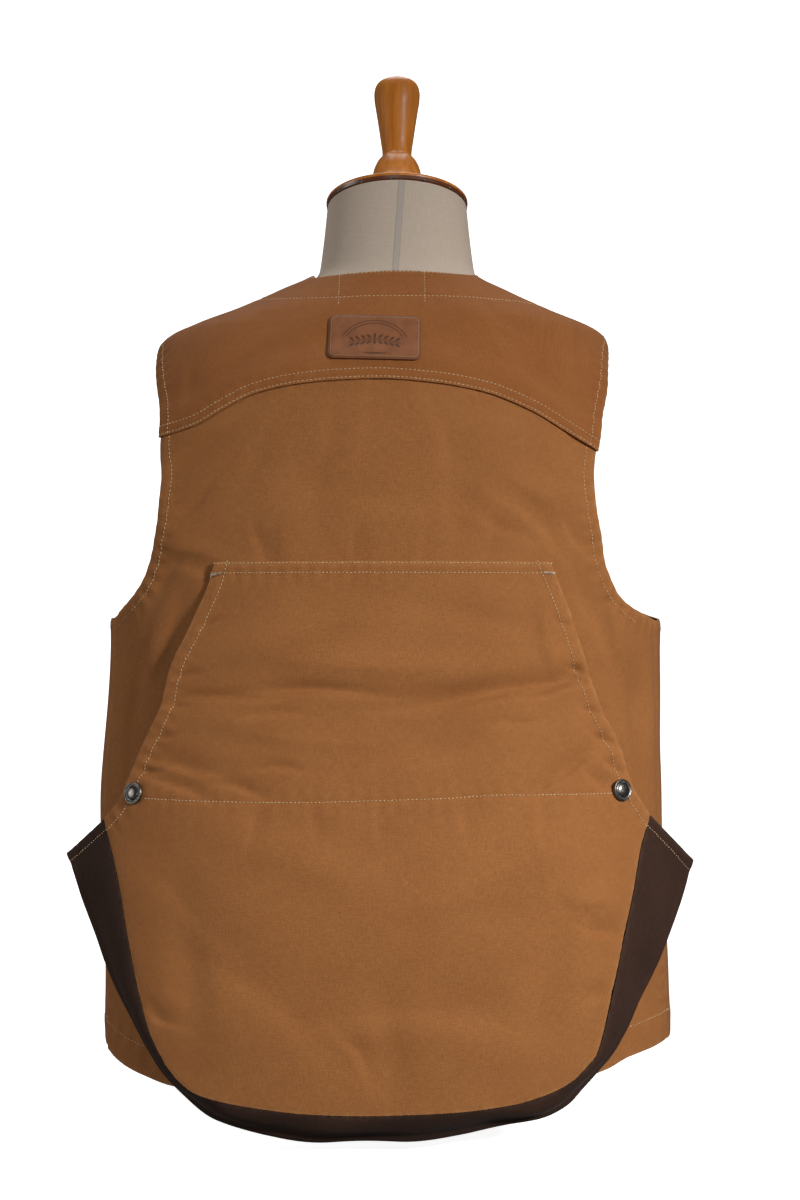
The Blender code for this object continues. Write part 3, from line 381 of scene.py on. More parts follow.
BACK_FOLDS = Creases(
    (
        (0.165, 0.44, 60.0, 0.05, 0.014, 0.003), (-0.14, 0.44, 120.0, 0.05, 0.014, 0.003),
        (0.06, 0.465, 75.0, 0.045, 0.016, -0.0022), (-0.045, 0.47, 100.0, 0.045, 0.016, -0.0022),
        (0.2, 0.32, 80.0, 0.06, 0.015, -0.003), (-0.185, 0.32, 100.0, 0.06, 0.015, -0.003),
    ),
    even=True,
)
BAG_FOLDS = Creases(
    (
        (0.0, 0.345, 4.0, 0.1, 0.013, 0.0032), (0.03, 0.305, -6.0, 0.09, 0.013, -0.0026),
        (-0.06, 0.385, 12.0, 0.06, 0.01, -0.0022), (0.085, 0.37, -16.0, 0.055, 0.011, 0.0026),
        (0.15, 0.13, 82.0, 0.05, 0.014, -0.0036), (-0.11, 0.12, 96.0, 0.05, 0.014, -0.0034),
        (0.005, 0.08, 86.0, 0.035, 0.014, -0.003), (0.08, 0.215, 20.0, 0.06, 0.016, 0.0026),
        (-0.08, 0.205, -24.0, 0.06, 0.016, 0.0028),
    ),
    even=True,
)
BACK_CREASES = Creases(
    (
        (0.101, 0.438, 80.0, 0.018, 0.005, -0.001), (0.082, 0.441, 95.0, 0.02, 0.007, 0.0005),
        (0.03, 0.438, 88.0, 0.016, 0.0055, -0.0007), (-0.02, 0.439, 92.0, 0.016, 0.0055, -0.0007),
        (-0.068, 0.44, 100.0, 0.018, 0.0055, -0.0007), (-0.098, 0.459, 43.0, 0.034, 0.0085, -0.0017),
        (-0.106, 0.474, 41.0, 0.03, 0.008, 0.0007), (-0.078, 0.452, 30.0, 0.022, 0.006, -0.0012),
        (-0.135, 0.445, 50.0, 0.02, 0.006, -0.0012), (0.144, 0.513, 140.0, 0.034, 0.0105, -0.0022),
        (0.154, 0.469, 133.0, 0.018, 0.004, -0.0014), (0.152, 0.4205, 18.0, 0.022, 0.006, -0.0013),
        (0.15, 0.433, 20.0, 0.02, 0.006, 0.0009), (-0.146, 0.39, 70.0, 0.034, 0.008, -0.0018),
        (-0.168, 0.372, 76.0, 0.045, 0.008, 0.0016), (-0.182, 0.318, 80.0, 0.05, 0.0085, -0.0016),
        (-0.194, 0.305, 84.0, 0.06, 0.0075, 0.0016), (-0.16, 0.418, 58.0, 0.022, 0.0065, -0.0014),
        (0.17, 0.372, 110.0, 0.04, 0.0085, -0.0011), (0.186, 0.35, 106.0, 0.04, 0.0085, 0.0014),
        (0.2, 0.3, 97.0, 0.05, 0.0095, -0.0016), (0.172, 0.415, 118.0, 0.022, 0.0065, -0.0012),
        (0.02, 0.523, 90.0, 0.04, 0.012, -0.0008), (0.052, 0.515, 98.0, 0.04, 0.012, -0.0009),
        (-0.034, 0.516, 80.0, 0.04, 0.011, -0.0008), (0.105, 0.5, 126.0, 0.04, 0.012, -0.001),
        (-0.14, 0.495, 76.0, 0.04, 0.008, -0.001), (0.0, 0.474, 5.0, 0.07, 0.012, -0.0008),
        (0.18, 0.12, 96.0, 0.05, 0.011, -0.002), (-0.176, 0.12, 84.0, 0.05, 0.011, -0.002),
        (-0.186, 0.09, 60.0, 0.03, 0.008, -0.0016),
    ),
    strength=1.7,
)
BAG_CREASES = Creases(
    (
        (-0.068, 0.3295, -7.0, 0.062, 0.008, -0.003), (-0.113, 0.335, -14.0, 0.028, 0.006, -0.0018),
        (-0.086, 0.3085, -3.0, 0.02, 0.003, -0.0007), (-0.022, 0.289, -25.0, 0.036, 0.012, -0.0024),
        (0.131, 0.3257, -2.0, 0.034, 0.0035, -0.0016), (0.06, 0.3305, 2.4, 0.042, 0.004, -0.0016),
        (0.092, 0.3142, 1.0, 0.02, 0.004, -0.001), (0.01, 0.352, 5.0, 0.08, 0.011, 0.0008),
        (0.07, 0.3, 5.0, 0.06, 0.012, 0.001), (0.156, 0.2765, 6.0, 0.026, 0.006, -0.0014),
        (0.112, 0.26, 12.0, 0.018, 0.004, -0.001), (0.084, 0.275, 3.0, 0.018, 0.0035, -0.001),
        (0.16, 0.261, 22.0, 0.022, 0.005, -0.0011), (-0.13, 0.2775, -28.0, 0.02, 0.0055, -0.0015),
        (-0.15, 0.265, 29.0, 0.012, 0.0045, -0.0016), (-0.104, 0.262, -40.0, 0.014, 0.0045, -0.001),
        (-0.137, 0.344, 22.0, 0.01, 0.0022, -0.0014), (-0.145, 0.333, 24.0, 0.01, 0.0022, -0.0013),
        (-0.1485, 0.313, 26.0, 0.011, 0.0024, -0.0014), (-0.156, 0.293, 30.0, 0.011, 0.0026, -0.0015),
        (-0.162, 0.274, 34.0, 0.011, 0.0026, -0.0014), (0.1655, 0.32, -8.0, 0.012, 0.0024, -0.0013),
        (0.176, 0.296, -12.0, 0.011, 0.0024, -0.0009), (0.186, 0.27, -14.0, 0.011, 0.0024, -0.0011),
        (0.156, 0.342, -10.0, 0.01, 0.0022, -0.0009), (0.14, 0.38, -16.0, 0.01, 0.0022, -0.0008),
        (-0.124, 0.38, 18.0, 0.01, 0.0022, -0.0009), (-0.112, 0.37, 76.0, 0.034, 0.0085, 0.0008),
        (0.149, 0.1755, 36.0, 0.038, 0.012, -0.0005), (0.085, 0.108, 30.0, 0.07, 0.022, -0.0013),
        (0.027, 0.073, 60.0, 0.018, 0.007, -0.001), (-0.15, 0.156, 26.0, 0.016, 0.006, -0.0012),
        (-0.138, 0.18, 20.0, 0.016, 0.008, 0.0008), (0.172, 0.098, 22.0, 0.018, 0.006, -0.0009),
        (-0.15, 0.112, -20.0, 0.016, 0.006, -0.0009), (-0.053, 0.181, -12.0, 0.07, 0.016, 0.0005),
        (-0.02, 0.101, 3.0, 0.07, 0.02, -0.0018), (-0.06, 0.102, 25.0, 0.032, 0.01, -0.0004),
        (0.06, 0.238, 86.0, 0.014, 0.0055, -0.0005), (0.012, 0.238, 92.0, 0.014, 0.0055, -0.0004),
        (-0.05, 0.24, 84.0, 0.014, 0.0055, -0.0005), (-0.105, 0.236, 78.0, 0.016, 0.0055, -0.0006),
        (0.105, 0.234, 96.0, 0.016, 0.0055, -0.0006), (-0.104, 0.205, 84.0, 0.036, 0.008, 0.0003),
    ),
    strength=2.35,
)
YOKE_CREASES = Creases(
    (
        (0.12, 0.575, 130.0, 0.045, 0.012, -0.0008), (-0.105, 0.57, 52.0, 0.045, 0.012, -0.0008),
        (0.09, 0.612, 160.0, 0.03, 0.008, -0.0006), (-0.08, 0.612, 22.0, 0.03, 0.008, -0.0006),
        (0.0, 0.57, 3.0, 0.06, 0.008, -0.0005), (0.158, 0.56, 95.0, 0.022, 0.006, -0.0006),
        (-0.15, 0.56, 85.0, 0.022, 0.006, -0.0006),
    ),
    strength=1.5,
)
FRONT_CREASES = Creases(
    (
        (0.12, 0.4, 110.0, 0.06, 0.013, -0.0018), (-0.12, 0.4, 70.0, 0.06, 0.013, -0.0018),
        (0.07, 0.3, 8.0, 0.06, 0.012, -0.0016), (-0.08, 0.285, -8.0, 0.06, 0.012, -0.0016),
        (0.09, 0.2, -12.0, 0.07, 0.014, 0.0014), (-0.09, 0.19, 10.0, 0.07, 0.014, 0.0014),
        (0.14, 0.15, 70.0, 0.05, 0.011, -0.0014), (-0.14, 0.15, 110.0, 0.05, 0.011, -0.0014),
        (0.1, 0.52, 60.0, 0.05, 0.012, -0.001), (-0.1, 0.52, 120.0, 0.05, 0.012, -0.001),
        (0.045, 0.44, 95.0, 0.03, 0.008, -0.0008), (-0.045, 0.36, 88.0, 0.03, 0.008, -0.0008),
    ),
    strength=1.4,
)


def section_reach(angle: Array, width: Array, back: Array, front: Array, power: Array) -> Array:
    """How far a rounded section's edge is from its middle, by the angle and its half sizes."""
    depth = np.where(np.sin(angle) > 0, back, front)
    cosine = np.abs(np.cos(angle)) / width
    sine = np.abs(np.sin(angle)) / depth
    return (cosine**power + sine**power) ** (-1 / power)


@dataclass(frozen=True)
class VestShape:
    """The vest's outer surface, by the angle round the body and the height.

    The angle is 0 on the left side, 90 degrees at the middle of the back.
    """

    fold_from: float = 0.05
    fold_fade: float = 0.25
    fold_side: float = 0.5

    def section(self, name: str, z: Array, bag: bool = False) -> Array:
        """A size of the vest at a height, or of the bag's outer surface."""
        value = BODY.at(name, z)
        return value + BAG.at(name, z) if bag and name in BAG.columns else value

    def surface(self, angle: Array, z: Array, bag: bool = False) -> Array:
        """The points of the outer surface at angles and heights."""
        angle, z = np.broadcast_arrays(np.asarray(angle, float), np.asarray(z, float))
        width, back, front, centre, power = (self.section(name, z, bag) for name in SECTION_COLUMNS[1:])
        reach = section_reach(angle, width, back, front, power)
        x = centre + reach * np.cos(angle)
        y = reach * np.sin(angle)
        fade = ease((np.sin(angle) - self.fold_from) / self.fold_fade)
        out = fade * (BAG_FOLDS if bag else BACK_FOLDS).at(x, z)
        return np.stack([x + out * np.cos(angle) * self.fold_side, y + out * np.sin(angle), z], axis=-1)

    def outward(self, angle: Array, z: Array, bag: bool = False) -> Array:
        """The unit normals of the surface."""
        step = 0.001
        round_it = self.surface(angle + step, z, bag) - self.surface(angle - step, z, bag)
        up_it = self.surface(angle, z + step, bag) - self.surface(angle, z - step, bag)
        return unit(np.cross(round_it, up_it))

    def skin(self, grid: Array, bag: bool = False) -> tuple[Array, Array]:
        """The points and unit normals of the surface at (angle, z) places."""
        angle, z = grid[..., 0], grid[..., 1]
        return self.surface(angle, z, bag), self.outward(angle, z, bag)

    def angle_at_x(self, x: Array, z: Array, bag: bool = False) -> Array:
        """The angle of the back surface's point at a sideways place."""
        width = self.section("half_width", z, bag)
        power = self.section("exponent", z)
        off = x - self.section("centre_x", z, bag)
        rest = np.clip(1 - np.abs(off / width) ** power, 0, 1)
        return np.arctan2(self.section("back", z, bag) * rest ** (1 / power), off)

    def angle_at_y(self, y: float, z: float, left: bool) -> float:
        """The angle of the point at a depth, on the left or the right side."""
        depth = float(BODY.at("back" if y > 0 else "front", z))
        power = float(BODY.at("exponent", z))
        rest = min(max(1 - abs(y / depth) ** power, 0), 1)
        angle = math.atan2(y, float(BODY.at("half_width", z)) * rest ** (1 / power))
        return angle if left else math.pi - angle

    def front_angle(self, off: float, z: float, left: bool) -> float:
        """The angle of a front's point at a distance from the middle line."""
        width = float(BODY.at("half_width", z))
        power = float(BODY.at("exponent", z))
        y = float(BODY.at("front", z)) * (1 - abs(off / width) ** power) ** (1 / power)
        angle = math.atan2(-y, off)
        return angle if left else angle + 2 * math.pi

    def on_back(self, rows: Rows, bag: bool = False) -> list[Pair]:
        """(x, z) rows as (angle, z) points of the back."""
        return [(float(self.angle_at_x(np.float64(x), np.float64(z), bag)), z) for x, z in rows]


@dataclass(frozen=True)
class Edges:
    """The edges that the panels share, as (angle, z) points."""

    shape: VestShape
    seam_y: float = 0.045
    seam_gap: float = 0.0003
    lap: float = 0.010
    yoke_left_z: float = 0.5210
    yoke_right_z: float = 0.5100
    turn_z: float = 0.578
    neck_seam: float = -32.0
    neck_under: float = -24.0

    def armhole(self, left: bool, part: str) -> list[Pair]:
        """The armhole's edge from the shoulder tip to the underarm, at the back or the front."""
        name = "y_front" if part == "front" else "y_left" if left else "y_right"
        index = ARMHOLE.columns.index(name)
        return [(self.shape.angle_at_y(row[index], row[0], left), row[0]) for row in ARMHOLE.rows]

    def upper_part(self, points: Rows, z: float) -> list[Pair]:
        """The points of a falling edge above a height, with its own point there."""
        here = float(curve_through(np.float64(z), [p[1] for p in points], [p[0] for p in points]))
        return [tuple(p) for p in points if p[1] > z + 1e-4] + [(here, z)]

    def seam_height(self, left: bool) -> float:
        """How high the side seam meets the armhole."""
        rows = ARMHOLE.rows[8:][::-1]
        index = 1 if left else 2
        return float(np.interp(self.seam_y, [r[index] for r in rows], [r[0] for r in rows]))

    def side_seam(self, left: bool, bottom: float, back: bool) -> list[Pair]:
        """The side seam from the hem to the armhole, set back by half a seam gap."""
        nudge = self.seam_gap * 4
        toward = (1 if left else -1) * (1 if back else -1)
        heights = np.linspace(bottom, self.seam_height(left), 8)
        return [(self.shape.angle_at_y(self.seam_y, z, left) + toward * nudge, z) for z in heights]

    def neck(self, start: float, end: float, count: int) -> Array:
        """The neck's edge between two angles in degrees."""
        degrees = np.linspace(start, end, count)
        return np.stack([np.radians(degrees), NECK.at("z", degrees)], axis=1)

    def neck_point(self, degrees: float) -> Pair:
        """The neck edge's point at an angle in degrees."""
        return (math.radians(degrees), float(NECK.at("z", degrees)))

    def yoke(self, rise: float = 0.0) -> list[Pair]:
        """The yoke's lower edge, left armhole to right, or a line that far above it."""
        left_end = self.upper_part(self.armhole(True, "back"), self.yoke_left_z + rise)[-1]
        right_end = self.upper_part(self.armhole(False, "back"), self.yoke_right_z + rise)[-1]
        middle = self.shape.on_back([(x, z + rise) for x, z in YOKE_EDGE.rows])
        return [left_end] + middle + [right_end]


# Fine cloth


ROW_SINK = 0.0004
ROW_HALF = 0.0017


def samples_along(line: Array, step: float) -> tuple[Array, Array]:
    """Points along a line at an even step, and how far along each is."""
    far = np.concatenate([[0], np.cumsum(np.linalg.norm(np.diff(line, axis=0), axis=1))])
    at = np.linspace(0, far[-1], max(2, int(far[-1] / step) + 1))
    return np.stack([np.interp(at, far, line[:, i]) for i in range(3)], axis=1), at


def lookup(points: Array) -> KDTree:
    """A tree that finds the nearest of some points."""
    tree = KDTree(len(points))
    for i, place in enumerate(points):
        tree.insert(place, i)
    tree.balance()
    return tree


def nearest(points: Array, line: Array, step: float = 0.0006) -> tuple[Array, Array]:
    """Each point's distance from a line, and how far along the line the nearest place is."""
    samples, at = samples_along(line, step)
    tree = lookup(samples)
    flat = points.reshape(-1, 3)
    found = [tree.find(p) for p in flat]
    distance = np.array([f[2] for f in found]).reshape(points.shape[:2])
    along = at[np.array([f[1] for f in found])].reshape(points.shape[:2])
    return distance, along


@dataclass(frozen=True)
class Band:
    """A folded or sewn edge of a panel, with its rows of stitches.

    The cloth is thicker from the edge to the last row, sinks under each row and puckers along it.
    """

    side: Side
    rows: tuple[float, ...]
    start: float = 0.0
    end: float = 1.0
    rise: float = 0.0006
    pucker: float = 0.00070
    pitch: float = 0.0105
    sewn: bool = True

    def offset(self, distance: Array, along: Array) -> Array:
        """How far the band moves the cloth out at a distance from its edge."""
        width = max(self.rows)
        wander = 0.8 * np.sin(along / 0.023 + 1.3) + 0.6 * np.sin(along / 0.041)
        uneven = 0.55 + 0.45 * np.sin(along / 0.053 + 0.7)
        wave = np.sin(2 * math.pi * along / self.pitch + wander) * uneven
        inside = 1 - ease((distance - width) / 0.0025)
        ripple = np.exp(-(((distance - width) / (0.45 * width + 0.004)) ** 2))
        total = self.rise * inside + self.pucker * wave * ripple
        for row in self.rows:
            total = total - ROW_SINK * np.exp(-(((distance - row) / ROW_HALF) ** 2))
        return total


@dataclass
class Skin:
    """What a shell is made from: outer points, normals, and how near sewing and an edge are."""

    name: str
    points: Array
    normals: Array
    sewing: Array
    edge: Array


class Panel(Skin):
    """A cloth panel: a grid of outer points that creases, bands and seam rows have moved."""

    STITCH_LIFT = 0.00014
    FLAT_EDGE = 0.012
    EDGE_SHARE = 0.35
    ROLL_WIDTH = 0.0018
    SEAM_WAVE = 0.012
    SEAM_PUCKER = 0.00035
    PUCKER_REACH = 0.008
    PUCKER_START = 0.003
    SEWING_REACH = 0.0030
    EDGE_REACH = 0.0025

    def __init__(
        self,
        name: str,
        base: Array,
        normals: Array,
        creases: Creases,
        bands: Sequence[Band] = (),
        seams: Sequence[Array] = (),
        roll: float = 0.0005,
        waves: float = 0.00018,
    ) -> None:
        """Moves the base grid out by the creases, bands and seams.

        Args:
            name: The panel's name.
            base: The grid of points of its plain outer surface.
            normals: The grid's unit normals.
            creases: Its creases, by x and z.
            bands: Its folded edges.
            seams: Lines of points of rows inside it.
            roll: How far its raw edge rolls in.
            waves: How uneven the cloth lies.
        """
        self.base = base
        self.bands = tuple(bands)
        x, z = base[..., 0], base[..., 2]
        offset = creases.at(x, z) + self.unevenness(waves)
        edge, _ = nearest(base, self.outline())
        share = self.EDGE_SHARE + (1 - self.EDGE_SHARE) * ease(edge / self.FLAT_EDGE)
        offset = offset * share - roll * np.exp(-((edge / self.ROLL_WIDTH) ** 2))
        sewing = np.full(base.shape[:2], 1.0)
        for band in self.bands:
            distance, along = nearest(base, self.side_line(band.side, band.start, band.end))
            offset = offset + band.offset(distance, along)
            for row in band.rows if band.sewn else ():
                sewing = np.minimum(sewing, np.abs(distance - row))
        for line in seams:
            distance, along = nearest(base, line)
            wave = np.sin(2 * math.pi * along / self.SEAM_WAVE + 1.1 * np.sin(along / 0.029))
            offset = offset - ROW_SINK * np.exp(-((distance / ROW_HALF) ** 2))
            fade = np.exp(-distance / self.PUCKER_REACH) * ease(distance / self.PUCKER_START)
            offset = offset + self.SEAM_PUCKER * wave * fade
            sewing = np.minimum(sewing, distance)
        points = base + normals * offset[..., None]
        near = np.exp(-((sewing / self.SEWING_REACH) ** 2)), np.exp(-((edge / self.EDGE_REACH) ** 2))
        super().__init__(name, points, normals, *near)

    def unevenness(self, size: float) -> Array:
        """A soft unevenness of cloth that hangs, made from a few waves that don't repeat together."""
        x, y, z = (self.base[..., i] for i in range(3))
        round_it = x + 0.7 * y
        total = np.sin(round_it / 0.0131 + 1.7 * np.sin(z / 0.031))
        total = total + np.sin(z / 0.0117 + 1.3 * np.sin(round_it / 0.027))
        total = total + 1.6 * np.sin((round_it + 0.6 * z) / 0.0293 + 0.5)
        return size * total

    def oriented(self, side: Side, grid: Array) -> Array:
        """The grid with its lines starting at a side and running away from it."""
        if side is Side.LEFT:
            return grid
        if side is Side.RIGHT:
            return grid[:, ::-1]
        if side is Side.BOTTOM:
            return grid.swapaxes(0, 1)
        return grid[::-1].swapaxes(0, 1)

    def span(self, side: Side, start: float, end: float) -> tuple[int, int]:
        """The first and last line of part of a side."""
        count = len(self.oriented(side, self.base))
        return round(start * (count - 1)), round(end * (count - 1)) + 1

    def side_line(self, side: Side, start: float = 0.0, end: float = 1.0) -> Array:
        """The edge points of part of a side."""
        first, last = self.span(side, start, end)
        return self.oriented(side, self.base)[first:last, 0]

    def outline(self) -> Array:
        """The panel's whole edge as one closed line."""
        grid = self.base
        return np.concatenate([grid[0], grid[1:, -1], grid[-1, -2::-1], grid[-2::-1, 0]])

    def contour(self, side: Side, distance: float, start: float = 0.0, end: float = 1.0) -> Array:
        """The line on the moved cloth that keeps a distance from part of a side."""
        first, last = self.span(side, start, end)
        margin = 12
        low, high = max(0, first - margin), last + margin
        lifted = self.points + self.normals * self.STITCH_LIFT
        lines = self.oriented(side, lifted)[low:high]
        plain = self.oriented(side, self.base)
        apart, _ = nearest(plain[low:high, :60], plain[first:last, 0])
        found = []
        for line, gap in zip(lines, apart):
            beyond = np.nonzero(gap >= distance)[0]
            if len(beyond) and beyond[0] > 0:
                k = int(beyond[0])
                share = (distance - gap[k - 1]) / max(gap[k] - gap[k - 1], 1e-9)
                found.append(line[k - 1] + (line[k] - line[k - 1]) * share)
        return np.array(found)

    def rows(self) -> list[Array]:
        """The lines of every sewn band's stitch rows on the moved cloth."""
        return [self.contour(b.side, d, b.start, b.end) for b in self.bands if b.sewn for d in b.rows]

    def on_cloth(self, places: Array) -> Array:
        """The places moved as the cloth under them was moved."""
        tree = lookup(self.base.reshape(-1, 3))
        moves = (self.points - self.base).reshape(-1, 3)
        moved = []
        for place in places:
            near = tree.find_n(place, 4)
            weights = np.array([1 / (f[2] + 1e-5) for f in near])
            move = sum(w * moves[f[1]] for w, f in zip(weights, near)) / weights.sum()
            out = self.normals.reshape(-1, 3)[near[0][1]] * self.STITCH_LIFT
            moved.append(place + move + out)
        return np.array(moved)


class ShellMaker:
    """Makes closed thin shells from grids: a fine outer skin and an inner skin half as dense."""

    def __init__(self, thickness: float = 0.0016, sharp_degrees: float = 48.0) -> None:
        """Args: thickness: The cloth's thickness. sharp_degrees: Edges over this angle stay sharp."""
        self.thickness = thickness
        self.sharp = math.radians(sharp_degrees)

    def make(self, skin: Skin, thickness: float | None = None) -> Item:
        """The skin as a closed shell object with its own UV map and attributes."""
        outer = skin.points
        rows, cols = outer.shape[:2]
        inner = (outer - skin.normals * (thickness or self.thickness))[::2, ::2]
        count = rows * cols
        facing = np.cross(outer[1:, :-1] - outer[:-1, :-1], outer[:-1, 1:] - outer[:-1, :-1])
        flip = float((facing * skin.normals[:-1, :-1]).sum()) > 0
        index = np.arange(count).reshape(rows, cols)
        under = count + np.arange(inner.shape[0] * inner.shape[1]).reshape(inner.shape[:2])
        faces = self.quads(index, flip) + self.quads(under, not flip)
        faces += self.rim(self.loop(index), self.loop(under), flip)
        points = np.concatenate([outer.reshape(-1, 3), inner.reshape(-1, 3)])
        made = add_mesh(skin.name, points, faces)
        set_uv(made, self.both(self.arc_lengths(outer)))
        set_attribute(made, "sewing", self.both(skin.sewing))
        set_attribute(made, "edge", self.both(skin.edge))
        made.data.set_sharp_from_angle(angle=self.sharp)
        return made

    @staticmethod
    def both(values: Array) -> Array:
        """The values of the outer skin's points and then of the inner one's."""
        kept = values.shape[2:]
        return np.concatenate([values.reshape(-1, *kept), values[::2, ::2].reshape(-1, *kept)])

    @staticmethod
    def quads(index: Array, flip: bool) -> Faces:
        """The faces of one skin."""
        corners = np.stack([index[:-1, :-1], index[:-1, 1:], index[1:, 1:], index[1:, :-1]], axis=-1)
        quads = corners.reshape(-1, 4)
        return (quads[:, ::-1] if flip else quads).tolist()

    @staticmethod
    def loop(index: Array) -> list[int]:
        """The indices round a grid's edge."""
        parts = [index[0], index[1:, -1], index[-1, -2::-1], index[-2:0:-1, 0]]
        return np.concatenate(parts).tolist()

    @staticmethod
    def rim(fine: list[int], coarse: list[int], flip: bool) -> Faces:
        """Triangles that join the fine skin's edge to the coarse one's, two fine steps to one."""
        faces = []
        for k, c0 in enumerate(coarse):
            c1 = coarse[(k + 1) % len(coarse)]
            f0, f1, f2 = (fine[(2 * k + i) % len(fine)] for i in range(3))
            faces += [[f1, f0, c0], [f1, c0, c1], [f2, f1, c1]]
        return [face[::-1] for face in faces] if flip else faces

    @staticmethod
    def arc_lengths(grid: Array) -> Array:
        """A UV map in metres: lengths along the rows from the middle, and up the columns."""
        across = np.cumsum(np.linalg.norm(np.diff(grid, axis=1, prepend=grid[:, :1]), axis=2), axis=1)
        up = np.cumsum(np.linalg.norm(np.diff(grid, axis=0, prepend=grid[:1]), axis=2), axis=0)
        middle = across[:, across.shape[1] // 2][:, None]
        return np.stack([across - middle, up], axis=-1)


def add_mesh(name: str, points: Array, faces: Faces) -> Item:
    """A new object of the scene from points and faces."""
    mesh = bpy.data.meshes.new(name)
    mesh.from_pydata(np.asarray(points, float).tolist(), [], faces)
    mesh.validate()
    mesh.update()
    mesh.shade_smooth()
    return linked(name, mesh)


def linked(name: str, data: bpy.types.ID) -> Item:
    """A new object of the scene that shows some data."""
    made = bpy.data.objects.new(name, data)
    bpy.context.scene.collection.objects.link(made)
    return made


def made_real(guide: Item, name: str) -> Item:
    """A guide curve as a plain mesh object; the guide goes."""
    graph = bpy.context.evaluated_depsgraph_get()
    mesh = bpy.data.meshes.new_from_object(guide.evaluated_get(graph))
    mesh.name = name
    guide.modifiers.clear()
    bpy.data.objects.remove(guide, do_unlink=True)
    return linked(name, mesh)


def set_uv(item: Item, per_point: Array) -> None:
    """Gives a mesh a UV map from values of its points."""
    mesh = item.data
    corners = np.zeros(len(mesh.loops), np.int32)
    mesh.loops.foreach_get("vertex_index", corners)
    layer = mesh.uv_layers.new(name="cloth")
    layer.data.foreach_set("uv", per_point[corners].astype(np.float32).ravel())


def set_attribute(item: Item, name: str, values: Array) -> None:
    """Gives a mesh a number for each point."""
    made = item.data.attributes.new(name, "FLOAT", "POINT")
    made.data.foreach_set("value", values.astype(np.float32).ravel())


# Finishes


class NodeLayer:
    """A short way to build a material's nodes."""

    def __init__(self, name: str) -> None:
        """Args: name: The material's name."""
        self.material = bpy.data.materials.new(name)
        self.material.use_nodes = True
        self.tree = self.material.node_tree
        self.shader = self.tree.nodes["Principled BSDF"]

    def node(self, kind: str, **settings: object) -> bpy.types.Node:
        """A new node with some of its settings."""
        made = self.tree.nodes.new(kind)
        for key, value in settings.items():
            setattr(made, key, value)
        return made

    def link(self, source: object, target: object) -> None:
        """Links two sockets, or sets a target to a number."""
        if isinstance(source, Socket):
            self.tree.links.new(source, target)
        else:
            target.default_value = source

    def math(self, operation: str, *values: object) -> Socket:
        """A Math node's output."""
        made = self.node("ShaderNodeMath", operation=operation)
        for value, socket in zip(values, made.inputs):
            self.link(value, socket)
        return made.outputs[0]

    def times(self, first: object, second: object) -> Socket:
        """Two values multiplied."""
        return self.math("MULTIPLY", first, second)

    def plus(self, first: object, second: object) -> Socket:
        """Two values added."""
        return self.math("ADD", first, second)

    def noise(self, vector: object, scale: float, detail: float = 2.0, rough: float = 0.5) -> Socket:
        """A Noise texture's value."""
        made = self.node("ShaderNodeTexNoise")
        self.link(vector, made.inputs["Vector"])
        made.inputs["Scale"].default_value = scale
        made.inputs["Detail"].default_value = detail
        made.inputs["Roughness"].default_value = rough
        return made.outputs["Fac"]

    def mix(self, share: object, first: object, second: object, blend: str = "MIX") -> Socket:
        """A colour mix."""
        made = self.node("ShaderNodeMix", data_type="RGBA", blend_type=blend)
        self.link(share, made.inputs["Factor"])
        for value, socket in ((first, made.inputs[6]), (second, made.inputs[7])):
            if isinstance(value, tuple):
                socket.default_value = (*value, 1.0)
            else:
                self.link(value, socket)
        return made.outputs[2]

    def spread(
        self, value: object, low: float, high: float, to_low: float = 0.0, to_high: float = 1.0
    ) -> Socket:
        """A value taken from one range to another."""
        made = self.node("ShaderNodeMapRange")
        self.link(value, made.inputs["Value"])
        for name, number in (("From Min", low), ("From Max", high), ("To Min", to_low), ("To Max", to_high)):
            made.inputs[name].default_value = number
        return made.outputs["Result"]

    def scaled(self, vector: object, x: float, y: float, z: float = 1.0) -> Socket:
        """A vector multiplied by three numbers."""
        made = self.node("ShaderNodeVectorMath", operation="MULTIPLY")
        self.link(vector, made.inputs[0])
        made.inputs[1].default_value = (x, y, z)
        return made.outputs[0]

    def crossed(self, uv: object, along: float, across: float, scale: float, rough: float = 0.5) -> Socket:
        """Two noises of threads that cross, each drawn out along its own way."""
        warp = self.noise(self.scaled(uv, 1.0, along), scale, 2.0, rough)
        weft = self.noise(self.scaled(uv, across, 1.0), scale, 2.0, rough)
        return self.times(self.plus(warp, weft), 0.5)

    def tinted(self, share: object, body: object, tint: Triple) -> Socket:
        """A colour taken part of the way to itself times a tint."""
        return self.mix(share, body, self.mix(1.0, body, tint, "MULTIPLY"))

    def split(self, vector: object) -> tuple[Socket, ...]:
        """A vector's three parts."""
        made = self.node("ShaderNodeSeparateXYZ")
        self.link(vector, made.inputs[0])
        return tuple(made.outputs)

    def attribute(self, name: str) -> Socket:
        """A mesh attribute's value."""
        return self.node("ShaderNodeAttribute", attribute_name=name).outputs["Fac"]

    def place(self, kind: str) -> Socket:
        """The object coordinates or the UV map."""
        if kind == "UV":
            return self.node("ShaderNodeUVMap", uv_map="cloth").outputs[0]
        return self.node("ShaderNodeTexCoord").outputs["Object"]

    def bump(self, height: object, distance: float, strength: float) -> Socket:
        """A Bump node's normal."""
        made = self.node("ShaderNodeBump")
        self.link(height, made.inputs["Height"])
        made.inputs["Distance"].default_value = distance
        made.inputs["Strength"].default_value = strength
        return made.outputs[0]

    def set(self, **values: object) -> None:
        """Sets or links the shader's own sockets, named with _ for spaces."""
        for key, value in values.items():
            socket = self.shader.inputs[key.replace("_", " ")]
            if isinstance(value, tuple):
                socket.default_value = (*value, 1.0)
            else:
                self.link(value, socket)


